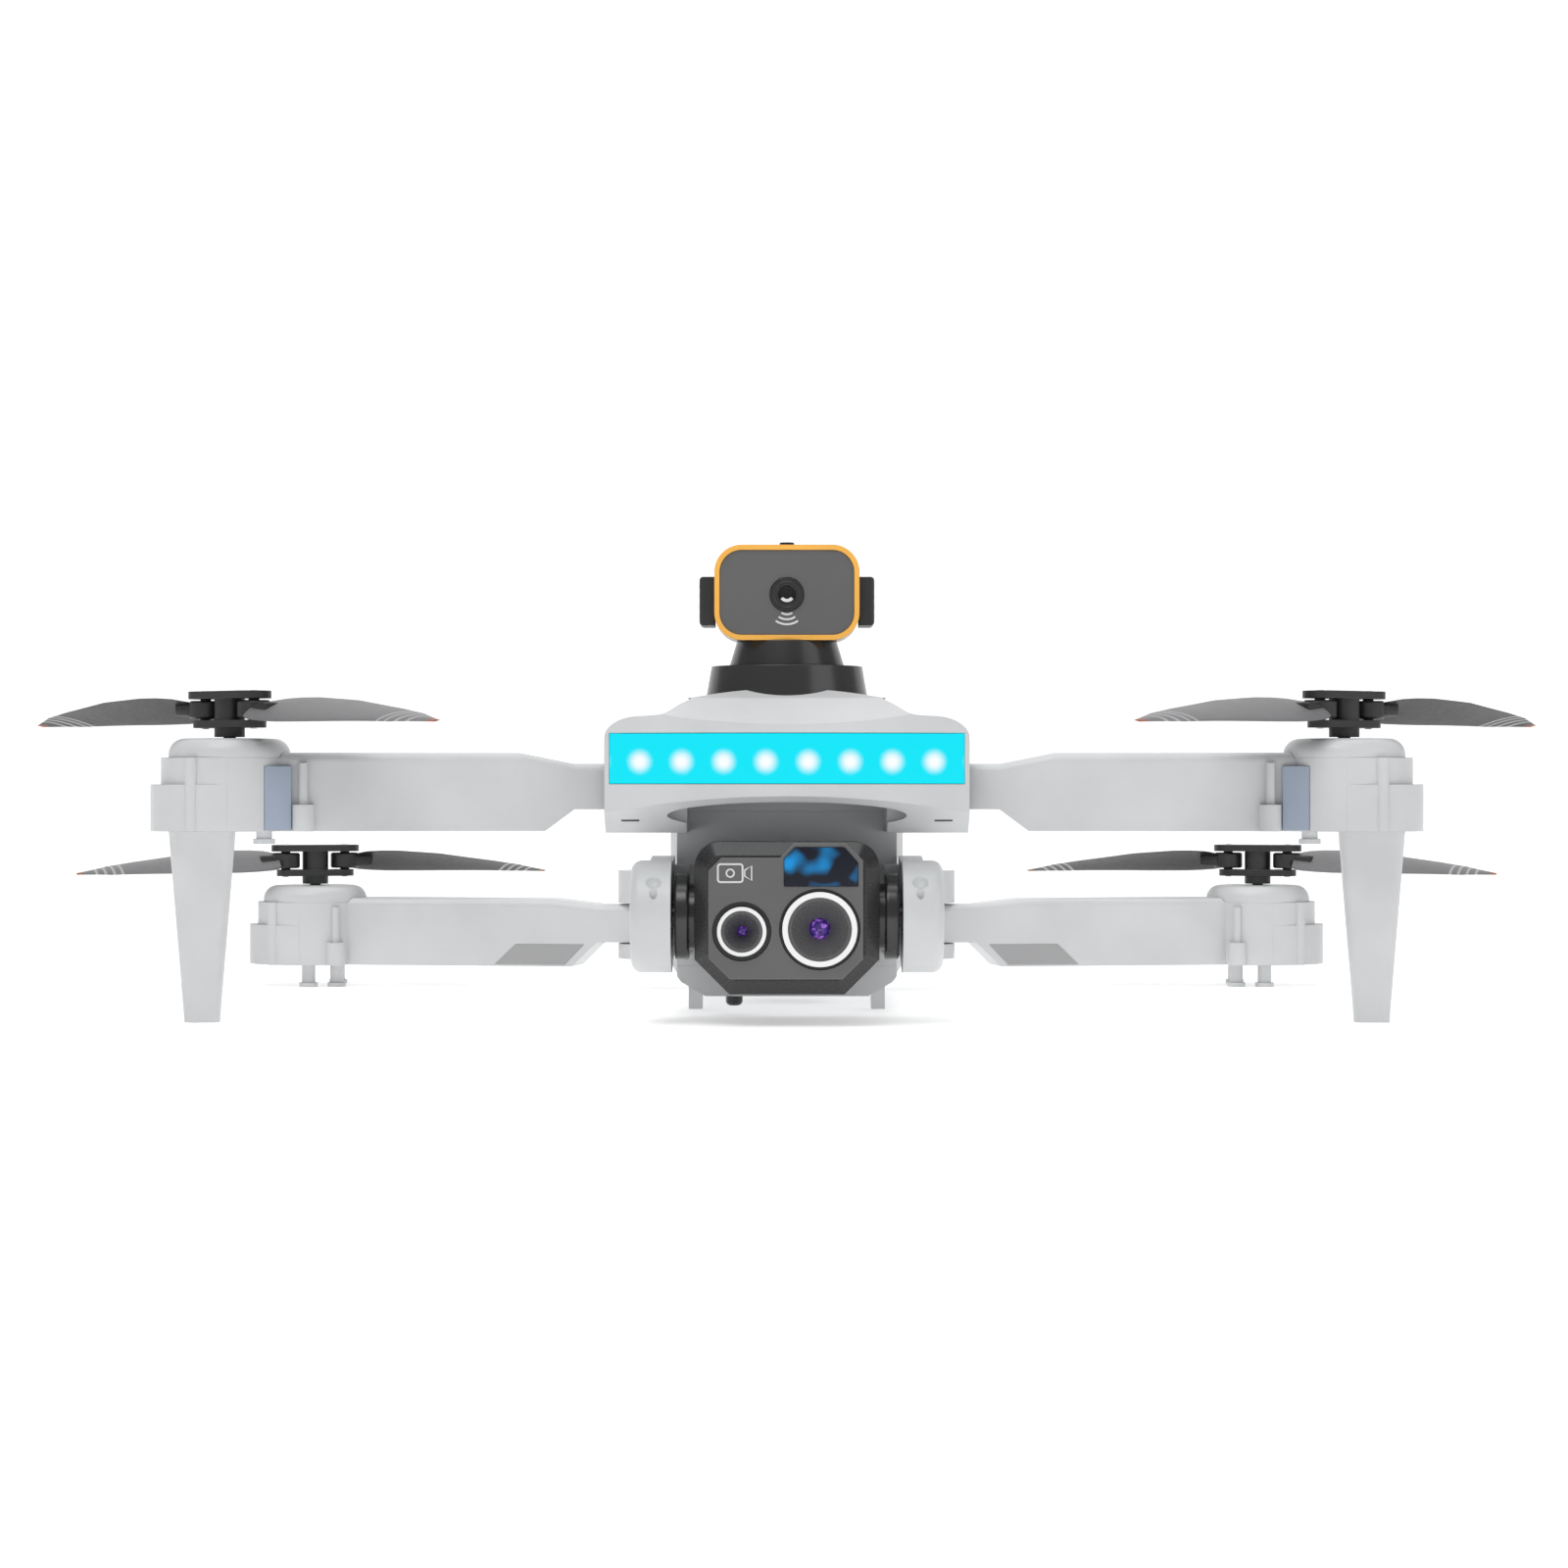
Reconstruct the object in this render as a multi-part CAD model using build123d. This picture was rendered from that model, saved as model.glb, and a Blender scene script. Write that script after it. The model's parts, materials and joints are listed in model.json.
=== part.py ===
from build123d import *
import math
import os

# Foldable toy quadcopter. Millimetres, +Z up, nose towards -Y, ground at Z = 0.

# ---- overall layout ----
MOTOR_HALF_SPAN = 134.0       # motor axes to the centre plane
PIVOT_HALF_SPAN = 36.0        # arm pivots to the centre plane
PIVOT_FORE_AFT = 65.0         # arm pivots ahead of and behind the middle
FRONT_SWEEP = 6.0             # degrees that the front arms lean forward when open
REAR_SWEEP = 10.0             # degrees that the rear arms lean back when open
BODY_NOSE_Y = -90.0
BODY_TAIL_Y = 85.0
BODY_TOP_Z = 80.0
WALL = 2.0                    # shell wall
SEAT_GAP = 0.15               # gap round a piece that drops into another
RUN_GAP = 0.1                 # radial gap of a pin in a turning bore

# ---- arms ----
PIN_RADIUS = 2.5
PIN_HEAD_RADIUS = 4.0
PIN_HEAD_HEIGHT = 1.5
ARM_EYE_RADIUS = 9.0
ARM_ROOT_HALF_WIDTH = 7.0
ARM_TIP_HALF_WIDTH = 8.5
ARM_ROOT_END = 16.0           # where the thin root starts to deepen, from the pivot
FRONT_POD_Z = 45.8            # underside of the front motor pods
REAR_POD_Z = 6.2              # underside of the rear motor pods
FRONT_ROOT_LOW_Z = 51.0
FRONT_ROOT_HIGH_Z = 62.0
REAR_ROOT_LOW_Z = 13.0
REAR_ROOT_HIGH_Z = 23.5
POD_RADIUS = 14.5
POD_HEIGHT = 22.2             # underside of the pod to the top of its cover
POD_WALL = 1.8
COVER_FILLET = 3.8
SKIRT_RADIUS = 18.8
SKIRT_HEIGHT = 11.2
TIER_RADIUS = 16.3
TIER_HEIGHT = 17.6
COVER_HEIGHT = POD_HEIGHT - TIER_HEIGHT
BEAM_HEIGHT = 18.8            # depth of the arm beam at the pod
BEAM_EDGE = 2.2               # rounding along the top of the beam
FRONT_TOWER_INBOARD = 17.8    # screw towers on the leading side, inboard of the motor axis
FRONT_TOWER_LEAD = ARM_TIP_HALF_WIDTH + 0.6
REAR_TOWER_INBOARD = 9.5
REAR_TOWER_LEAD = 11.4
TOWER_FOOT_RADIUS = 2.6
TOWER_FOOT_HEIGHT = 6.4
TOWER_RADIUS = 1.1
TOWER_HEIGHT = 16.4
RIB_OUTBOARD = 8.4            # upright rib on the pod tier, outboard of the motor axis
RIB_RADIUS = 1.5
MOTOR_RADIUS = 10.0
MOTOR_HEIGHT = 12.2
LEG_OUTBOARD = 6.5
LEG_TOP_WIDTH = 15.5
LEG_TOP_DEPTH = 12.0
LEG_TIP_WIDTH = 8.4
LEG_TIP_DEPTH = 7.0
LEG_CORNER = 2.0

# ---- camera ----
CAMERA_AXLE_Y = -82.0
CAMERA_AXLE_Z = 25.5
CAMERA_HALF_WIDTH = 21.8
CAMERA_HALF_HEIGHT = 18.0
CAMERA_FRONT_Y = -95.5
CAMERA_SPLIT_Y = -78.0
CAMERA_WALL = 1.8
CAMERA_BEVEL = 3.2
FACE_THICKNESS = 1.5
MAIN_LENS = (7.7, 23.0, 8.8, 7.5, 9.6, 2.5)      # x, z, ring outer, ring inner, recess, glass radius
SMALL_LENS = (-10.6, 22.5, 5.8, 4.9, 7.0, 1.2)
AXLE_DISC_RADIUS = 10.3
AXLE_COLLAR_RADIUS = 8.0
AXLE_COLLAR_LENGTH = 1.5
AXLE_COLLAR_X = CAMERA_HALF_WIDTH + AXLE_COLLAR_LENGTH
AXLE_DISC_THICKNESS = 3.3
AXLE_DISC_X = AXLE_COLLAR_X + AXLE_DISC_THICKNESS
AXLE_STUB_RADIUS = 3.0
AXLE_STUB_LENGTH = 6.4
AXLE_STUB_X = AXLE_DISC_X + AXLE_STUB_LENGTH
CHEEK_CLEARANCE = 0.8
CHEEK_WIDTH = 9.7
CHEEK_INNER_X = AXLE_DISC_X + CHEEK_CLEARANCE
CHEEK_OUTER_X = CHEEK_INNER_X + CHEEK_WIDTH
CHEEK_RADIUS = 13.4

# ---- nose and top shell ----
YOKE_WIDTH = 7.5              # shell outside the arm pivots
NOSE_HALF_WIDTH = PIVOT_HALF_SPAN + YOKE_WIDTH
NOSE_BOTTOM_Z = 45.4
NOSE_BACK_Y = -52.0
NOSE_CORNER_Y = -84.0         # front corner of the curved nose face
SHOULDER_DROP = 6.1
CREST_CROWN = 1.7             # how far the crest's top arches across its width
SHOULDER_Z = BODY_TOP_Z - SHOULDER_DROP
NOSE_LIP_Z = 54.9             # the nose face ends here and its underside slopes back
NOSE_SLOPE_BACK_Y = -77.0
FOLD_GAP = 0.6                # above and below an arm root in its yoke
EYE_GAP = 0.8                 # behind an arm eye
YOKE_SLOT_LOW_Z = FRONT_ROOT_LOW_Z - FOLD_GAP
YOKE_SLOT_HIGH_Z = FRONT_ROOT_HIGH_Z + FOLD_GAP
YOKE_SLOT_INNER_X = PIVOT_HALF_SPAN - ARM_EYE_RADIUS - EYE_GAP
YOKE_SLOT_FRONT_Y = -PIVOT_FORE_AFT - ARM_EYE_RADIUS - 1.5
WAIST_HALF_WIDTH = YOKE_SLOT_INNER_X - 0.2
TAIL_TAPER = 1.0
TAIL_HALF_WIDTH = WAIST_HALF_WIDTH - TAIL_TAPER
SHELL_SPLIT_Z = YOKE_SLOT_LOW_Z   # seam between top shell and lower fuselage
SCOOP_HALF_WIDTH = CAMERA_HALF_WIDTH + 6.7
SCOOP_TOP_Z = 52.8
SCOOP_HALF_HEIGHT = 3.2       # of the oval hollow across the sloped underside
SCOOP_STEP_Y = -77.0          # behind this the scoop is only as wide as the camera needs
SCOOP_REAR_HALF_WIDTH = CAMERA_HALF_WIDTH + 2.2

# ---- light bar ----
BAR_HALF_WIDTH = NOSE_HALF_WIDTH - 1.3
BAR_LOW_Z = 57.2
BAR_HIGH_Z = 69.1
BAR_THICKNESS = 2.0
BAR_RECESS = 0.3
LAMP_COUNT = 8
LAMP_PITCH = 10.0
LAMP_Z = 62.4
LAMP_SIZE = 3.4
LAMP_HEIGHT = 1.3
BAR_BOARD_Y = -82.0
BOARD_THICKNESS = 1.2

# ---- lower fuselage and belly ----
FUSELAGE_FRONT_Y = -57.0
FUSELAGE_FRONT_HALF_WIDTH = CHEEK_INNER_X - 0.4
FUSELAGE_HALF_WIDTH = 29.0
BELLY_SPLIT_Z = REAR_ROOT_LOW_Z - 0.4
BELLY_Z = 5.0
BELLY_FLAT_HALF_WIDTH = 20.0
REAR_EAR_RADIUS = ARM_EYE_RADIUS + 2.0
REAR_EAR_LOW_Z = REAR_ROOT_LOW_Z - 4.5
REAR_EAR_MID_Z = REAR_ROOT_HIGH_Z + 0.5
REAR_EAR_HIGH_Z = REAR_EAR_MID_Z + 9.0
BELLY_FOOT_X = 23.0
BELLY_FOOT_Y = -30.0
BELLY_FOOT_BOTTOM_Z = 0.4
SENSOR_X = -13.0
SENSOR_Y = -50.0
SENSOR_RADIUS = 2.1
SENSOR_TIP_Z = 2.3
SCREW_X = 15.0
SCREW_FRONT_Y = -52.5
SCREW_REAR_Y = 82.0
SCREW_RADIUS = 1.0
SCREW_HEAD_RADIUS = 2.0
SCREW_HEAD_HEIGHT = 1.4

# ---- battery ----
BATTERY_HALF_WIDTH = 22.0
BATTERY_FRONT_Y = 8.0
BATTERY_LOW_Z = 20.0
BATTERY_HIGH_Z = 44.0
BATTERY_GAP = 0.4
BATTERY_CAP_DEPTH = 5.0
LATCH_HALF_WIDTH = 7.0
LATCH_TRAVEL = 1.5

# ---- head ----
HEAD_Y = -62.0
COLLAR_LOW_RADIUS = 19.4
COLLAR_TOP_RADIUS = 18.4
COLLAR_HEIGHT = 5.7
COLLAR_TOP_Z = BODY_TOP_Z + COLLAR_HEIGHT
NECK_LOW_RADIUS = 14.0
NECK_TOP_RADIUS = 12.2
NECK_STUB_RADIUS = 6.0
NECK_HEIGHT = 6.1
HEAD_LOW_Z = COLLAR_TOP_Z + NECK_HEIGHT
HEAD_HEIGHT = 23.0
HEAD_WIDTH = 35.0
HEAD_DEPTH = 22.0
HEAD_CORNER = 6.6
HEAD_TRIM_WIDTH = 1.25
HEAD_LENS_Z = HEAD_LOW_Z + 11.0
HEAD_LENS_RADIUS = 4.0
HEAD_PUPIL_RADIUS = 2.2
HEAD_SENSOR_REACH = 3.7
HEAD_SENSOR_HEIGHT = 11.8
HEAD_SENSOR_RISE = 9.6

# ---- propellers ----
PROP_RADIUS = 67.8
FRONT_PROP_ANGLE = 38.8       # how the right front propeller stands, from +X
REAR_PROP_ANGLE = -19.4
BLADE_PIN_OFFSET = 8.5
BLADE_PIN_RADIUS = 1.3
BLADE_EYE_RADIUS = 4.0
HUB_LIFT = 0.4                # gap between motor cover and hub
HUB_COLUMN_RADIUS = 3.65
HUB_PLATE = 1.8
HUB_TOP_LENGTH = 25.0
HUB_TOP_WIDTH = 9.0
HUB_LOW_LENGTH = 22.0
HUB_LOW_WIDTH = 8.0
HUB_HEIGHT = 11.4             # top of the motor cover to the top of the hub
BLADE_GAP = 5.2               # clear height between the two hub plates
BLADE_SIDE_GAP = 0.4
SHAFT_RADIUS = 1.5
SHAFT_DEPTH = 12.0
# distance from the hub axis, chord, pitch, thickness, sideways offset and droop of the section's middle
BLADE_SECTIONS = (
    (13.0, 13.0, 22.0, 2.4, 0.0, 0.0),
    (22.0, 16.5, 21.0, 1.9, 1.2, 0.2),
    (34.0, 18.0, 17.0, 1.5, 1.6, 0.7),
    (50.0, 15.0, 12.0, 1.2, 1.2, 1.8),
    (58.0, 12.6, 9.6, 1.0, 1.8, 2.5),
    (PROP_RADIUS, 3.4, 7.0, 0.8, 4.4, 3.4),
)

# ---- power button ----
BUTTON_Y = 10.0
BUTTON_RADIUS = 5.5
BUTTON_TOP_Z = BODY_TOP_Z - 5.8
BUTTON_FLANGE_Z = BUTTON_TOP_Z - 4.8
BUTTON_GAP = 0.2

pieces = {}


# ---- shapes used all through ----
def block(x_lo, x_hi, y_lo, y_hi, z_lo, z_hi):
    middle = Pos((x_lo + x_hi) / 2, (y_lo + y_hi) / 2, (z_lo + z_hi) / 2)
    return middle * Box(x_hi - x_lo, y_hi - y_lo, z_hi - z_lo)


def post(radius, z_lo, z_hi, x=0.0, y=0.0):
    return Pos(x, y, (z_lo + z_hi) / 2) * Cylinder(radius, z_hi - z_lo)


def taper_post(low_radius, top_radius, z_lo, z_hi, x=0.0, y=0.0):
    return Pos(x, y, (z_lo + z_hi) / 2) * Cone(low_radius, top_radius, z_hi - z_lo)


def cross_rod(radius, x_lo, x_hi, y, z):
    return Pos((x_lo + x_hi) / 2, y, z) * Rot(0, 90, 0) * Cylinder(radius, x_hi - x_lo)


def long_rod(radius, y_lo, y_hi, x, z):
    return Pos(x, (y_lo + y_hi) / 2, z) * Rot(90, 0, 0) * Cylinder(radius, y_hi - y_lo)


def plan_prism(face, z_lo, z_hi):
    return Pos(0, 0, z_lo) * extrude(face, z_hi - z_lo)


def front_prism(face, y_lo, y_hi):
    return Pos(0, y_hi, 0) * Rot(90, 0, 0) * extrude(face, y_hi - y_lo)


def side_prism(face, x_lo, x_hi):
    return Pos(x_lo, 0, 0) * (Plane.YZ * extrude(face, x_hi - x_lo))


def outline(*points):
    return make_face(Polyline(*points, close=True))


def symmetric_outline(*half):
    left = [(-x, y) for x, y in reversed(half) if x > 0]
    return outline(*half, *left)


def both_sides(shape):
    return shape + mirror(shape, Plane.YZ)


def group(*shapes):
    return Compound([solid for shape in shapes for solid in shape.solids()])


def add_pair(name, right_shape):
    pieces[name + "_right"] = right_shape
    pieces[name + "_left"] = mirror(right_shape, Plane.YZ)


# ---- outer form of the body: three outlines crossed ----
def body_form(inset):
    nose_face = ThreePointArc((-NOSE_HALF_WIDTH, NOSE_CORNER_Y), (0, BODY_NOSE_Y),
                              (NOSE_HALF_WIDTH, NOSE_CORNER_Y))
    flanks = Polyline(
        (NOSE_HALF_WIDTH, NOSE_CORNER_Y), (NOSE_HALF_WIDTH, NOSE_BACK_Y - 2.5),
        (NOSE_HALF_WIDTH - 2.5, NOSE_BACK_Y),
        (WAIST_HALF_WIDTH + 3.0, NOSE_BACK_Y + 1.0), (WAIST_HALF_WIDTH, NOSE_BACK_Y + 5.0),
        (WAIST_HALF_WIDTH, BODY_TAIL_Y - 25.0), (TAIL_HALF_WIDTH, BODY_TAIL_Y),
        (-TAIL_HALF_WIDTH, BODY_TAIL_Y),
        (-WAIST_HALF_WIDTH, BODY_TAIL_Y - 25.0), (-WAIST_HALF_WIDTH, NOSE_BACK_Y + 5.0),
        (-WAIST_HALF_WIDTH - 3.0, NOSE_BACK_Y + 1.0), (2.5 - NOSE_HALF_WIDTH, NOSE_BACK_Y),
        (-NOSE_HALF_WIDTH, NOSE_BACK_Y - 2.5), (-NOSE_HALF_WIDTH, NOSE_CORNER_Y))
    plan = make_face(Curve() + [nose_face, flanks])
    half_width = NOSE_HALF_WIDTH - inset
    waist = WAIST_HALF_WIDTH - inset
    shoulder = SHOULDER_Z - inset
    top = BODY_TOP_Z - inset
    bottom = NOSE_BOTTOM_Z + inset
    crown = waist - 6.6
    crown_z = top - CREST_CROWN
    steepness = 2 * CREST_CROWN * crown / (crown ** 2 - CREST_CROWN ** 2)
    right = Spline(
        (half_width, shoulder - 6.0), (half_width - 1.1, shoulder - 3.3),
        (half_width - 3.6, shoulder - 1.6),
        (half_width - 7.5, shoulder - 0.7), (waist + 3.2, shoulder), (waist - 0.9, top - 3.7),
        (waist - 3.2, top - 2.4), (crown, crown_z), tangents=[(0, 1), (-1, steepness)])
    arch = ThreePointArc((crown, crown_z), (0.0, top), (-crown, crown_z))
    below = Polyline((-half_width, shoulder - 6.0), (-half_width, bottom), (half_width, bottom),
                     (half_width, shoulder - 6.0))
    front = make_face(Curve() + [right, arch, mirror(right, Plane.YZ), below])
    side = outline(
        (BODY_NOSE_Y - 1.0, NOSE_LIP_Z), (NOSE_SLOPE_BACK_Y, NOSE_BOTTOM_Z),
        (BODY_TAIL_Y + 1.0, NOSE_BOTTOM_Z),
        (BODY_TAIL_Y + 1.0, BODY_TOP_Z - 18.0), (BODY_TAIL_Y - 6.0, BODY_TOP_Z - 15.5),
        (30.0, BODY_TOP_Z - 9.5),
        (-15.0, BODY_TOP_Z - 3.0), (-40.0, BODY_TOP_Z),
        (-78.0, BODY_TOP_Z), (-83.0, BODY_TOP_Z - 2.4), (-88.0, SHOULDER_Z - 1.0),
        (BODY_NOSE_Y - 1.0, SHOULDER_Z - 3.6))
    if inset > 0:
        plan = offset(plan, -inset, kind=Kind.INTERSECTION)
        side = offset(side, -inset, kind=Kind.INTERSECTION)
    tall = plan_prism(plan, NOSE_BOTTOM_Z - 1.0, BODY_TOP_Z + 1.0)
    long = front_prism(front, BODY_NOSE_Y - 2.0, BODY_TAIL_Y + 2.0)
    wide = side_prism(side, -NOSE_HALF_WIDTH - 1.0, NOSE_HALF_WIDTH + 1.0)
    return tall & long & wide


# ---- top shell: brow, crest and the yokes that hold the front arms ----
def top_shell():
    pivot_y = -PIVOT_FORE_AFT
    outer = body_form(0.0)
    slot = block(YOKE_SLOT_INNER_X, NOSE_HALF_WIDTH + 5.0, YOKE_SLOT_FRONT_Y, NOSE_BACK_Y + 10.0,
                 YOKE_SLOT_LOW_Z, YOKE_SLOT_HIGH_Z)
    yoke = block(SCOOP_REAR_HALF_WIDTH, NOSE_HALF_WIDTH + 5.0, YOKE_SLOT_FRONT_Y - WALL,
                 NOSE_BACK_Y + 10.0,
                 NOSE_BOTTOM_Z - 1.0, YOKE_SLOT_HIGH_Z + WALL)
    pin_boss = post(PIN_RADIUS + 2.5, YOKE_SLOT_HIGH_Z, BODY_TOP_Z, PIVOT_HALF_SPAN, pivot_y)
    scoop_face = Pos(0, SCOOP_TOP_Z - SCOOP_HALF_HEIGHT) * Ellipse(SCOOP_HALF_WIDTH, SCOOP_HALF_HEIGHT)
    scoop_front = front_prism(scoop_face, BODY_NOSE_Y - 5.0, SCOOP_STEP_Y)
    scoop_front += block(-SCOOP_REAR_HALF_WIDTH, SCOOP_REAR_HALF_WIDTH, BODY_NOSE_Y - 5.0, SCOOP_STEP_Y,
                         NOSE_BOTTOM_Z - 1.0, SCOOP_TOP_Z - SCOOP_HALF_HEIGHT)
    scoop_rear = block(-SCOOP_REAR_HALF_WIDTH, SCOOP_REAR_HALF_WIDTH, SCOOP_STEP_Y, FUSELAGE_FRONT_Y,
                       NOSE_BOTTOM_Z - 1.0, SCOOP_TOP_Z)
    scoop_walls = block(-SCOOP_HALF_WIDTH - WALL, SCOOP_HALF_WIDTH + WALL, BODY_NOSE_Y - 5.0,
                        FUSELAGE_FRONT_Y + WALL, NOSE_BOTTOM_Z - 1.0, SCOOP_TOP_Z + WALL)
    cavity = body_form(WALL) - both_sides(yoke) - both_sides(pin_boss) - scoop_walls
    fuselage_room = block(-FUSELAGE_FRONT_HALF_WIDTH - SEAT_GAP, FUSELAGE_FRONT_HALF_WIDTH + SEAT_GAP,
                          FUSELAGE_FRONT_Y, BODY_TAIL_Y + 5.0, NOSE_BOTTOM_Z - 1.0, SHELL_SPLIT_Z)
    below_seam = block(-NOSE_HALF_WIDTH - 5.0, NOSE_HALF_WIDTH + 5.0, NOSE_BACK_Y, BODY_TAIL_Y + 5.0,
                       NOSE_BOTTOM_Z - 1.0, SHELL_SPLIT_Z)
    bar_opening = block(-BAR_HALF_WIDTH - SEAT_GAP, BAR_HALF_WIDTH + SEAT_GAP, BODY_NOSE_Y - 5.0,
                        NOSE_CORNER_Y + WALL + 0.8, BAR_LOW_Z - SEAT_GAP, BAR_HIGH_Z + SEAT_GAP)
    pin_hole = post(PIN_RADIUS + 0.05, NOSE_BOTTOM_Z - 1.0, YOKE_SLOT_HIGH_Z + 6.5, PIVOT_HALF_SPAN,
                    pivot_y)
    head_hole = post(PIN_HEAD_RADIUS + 0.05, NOSE_BOTTOM_Z - 1.0, NOSE_BOTTOM_Z + PIN_HEAD_HEIGHT + 0.05,
                     PIVOT_HALF_SPAN, pivot_y)
    button_hole = post(BUTTON_RADIUS + BUTTON_GAP, BUTTON_FLANGE_Z, BODY_TOP_Z, 0.0, BUTTON_Y)
    return (outer - cavity - both_sides(slot) - scoop_front - scoop_rear - fuselage_room - below_seam
            - bar_opening - both_sides(pin_hole + head_hole) - button_hole)


# ---- light bar across the nose: clear lens, circuit board and eight lamps ----
def light_bar():
    window = block(-BAR_HALF_WIDTH, BAR_HALF_WIDTH, BODY_NOSE_Y - 5.0, NOSE_CORNER_Y + WALL,
                   BAR_LOW_Z, BAR_HIGH_Z)
    pieces["light_bar_lens"] = (body_form(BAR_RECESS) - body_form(BAR_RECESS + BAR_THICKNESS)) & window
    pieces["light_bar_board"] = block(
        -BAR_HALF_WIDTH + 4.0, BAR_HALF_WIDTH - 4.0, BAR_BOARD_Y, BAR_BOARD_Y + BOARD_THICKNESS,
        BAR_LOW_Z + 1.2, BAR_HIGH_Z - 1.2)
    lamps = []
    for index in range(LAMP_COUNT):
        x = (index - (LAMP_COUNT - 1) / 2) * LAMP_PITCH
        lamps.append(block(x - LAMP_SIZE / 2, x + LAMP_SIZE / 2, BAR_BOARD_Y - LAMP_HEIGHT, BAR_BOARD_Y,
                           LAMP_Z - LAMP_SIZE / 2, LAMP_Z + LAMP_SIZE / 2))
    pieces["light_bar_lamps"] = group(*lamps)


# ---- lower fuselage: camera bulkhead, battery bay and the upper rear yokes ----
def rear_ear(z_lo, z_hi):
    root = block(FUSELAGE_FRONT_HALF_WIDTH - 5.0, PIVOT_HALF_SPAN, PIVOT_FORE_AFT - REAR_EAR_RADIUS,
                 PIVOT_FORE_AFT + REAR_EAR_RADIUS, z_lo, z_hi)
    return both_sides(root + post(REAR_EAR_RADIUS, z_lo, z_hi, PIVOT_HALF_SPAN, PIVOT_FORE_AFT))


def fuselage_plan(inset, y_lo, y_hi):
    half = [(FUSELAGE_FRONT_HALF_WIDTH, FUSELAGE_FRONT_Y), (FUSELAGE_FRONT_HALF_WIDTH, -50.0),
            (FUSELAGE_HALF_WIDTH, -42.0), (FUSELAGE_HALF_WIDTH, 36.0), (WAIST_HALF_WIDTH, 50.0),
            (WAIST_HALF_WIDTH, BODY_TAIL_Y - 25.0), (TAIL_HALF_WIDTH, BODY_TAIL_Y)]
    face = outline(*half, *[(-x, y) for x, y in reversed(half)])
    if inset > 0:
        face = offset(face, -inset, kind=Kind.INTERSECTION)
    room = Pos(0, (y_lo + y_hi) / 2) * Rectangle(4 * FUSELAGE_HALF_WIDTH, y_hi - y_lo)
    return face & room


def lower_fuselage():
    bay_wall = WALL + BATTERY_GAP
    outer = plan_prism(fuselage_plan(0.0, FUSELAGE_FRONT_Y, BODY_TAIL_Y), BELLY_SPLIT_Z, SHELL_SPLIT_Z)
    outer += rear_ear(REAR_EAR_MID_Z, REAR_EAR_HIGH_Z)
    front_room = plan_prism(fuselage_plan(WALL, FUSELAGE_FRONT_Y + WALL, BATTERY_FRONT_Y - bay_wall),
                            BELLY_SPLIT_Z, SHELL_SPLIT_Z)
    upper_room = plan_prism(fuselage_plan(WALL, BATTERY_FRONT_Y - bay_wall, BODY_TAIL_Y - WALL),
                            BATTERY_HIGH_Z + bay_wall, SHELL_SPLIT_Z)
    lower_room = plan_prism(fuselage_plan(WALL, BATTERY_FRONT_Y - bay_wall, SCREW_REAR_Y - 3.0),
                            BELLY_SPLIT_Z, BATTERY_LOW_Z - bay_wall)
    bay = block(-BATTERY_HALF_WIDTH - BATTERY_GAP, BATTERY_HALF_WIDTH + BATTERY_GAP,
                BATTERY_FRONT_Y - BATTERY_GAP, BODY_TAIL_Y + 5.0,
                BATTERY_LOW_Z - BATTERY_GAP, BATTERY_HIGH_Z + BATTERY_GAP)
    shell = outer - front_room - upper_room - lower_room - bay
    boss = post(SCREW_HEAD_RADIUS + 1.2, BELLY_SPLIT_Z, BELLY_SPLIT_Z + 7.0, SCREW_X, SCREW_FRONT_Y)
    shell += both_sides(boss & block(0, 2 * SCREW_X, FUSELAGE_FRONT_Y + 0.1, 0, 0, SHELL_SPLIT_Z))
    pin_hole = post(PIN_RADIUS + 0.05, REAR_EAR_MID_Z - 1.0, REAR_EAR_HIGH_Z - WALL + 0.1,
                    PIVOT_HALF_SPAN, PIVOT_FORE_AFT)
    shell -= both_sides(pin_hole)
    for screw_y in (SCREW_FRONT_Y, SCREW_REAR_Y):
        shell -= both_sides(post(SCREW_RADIUS, BELLY_SPLIT_Z - 1.0, BELLY_SPLIT_Z + 4.2, SCREW_X,
                                 screw_y))
    return shell


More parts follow.
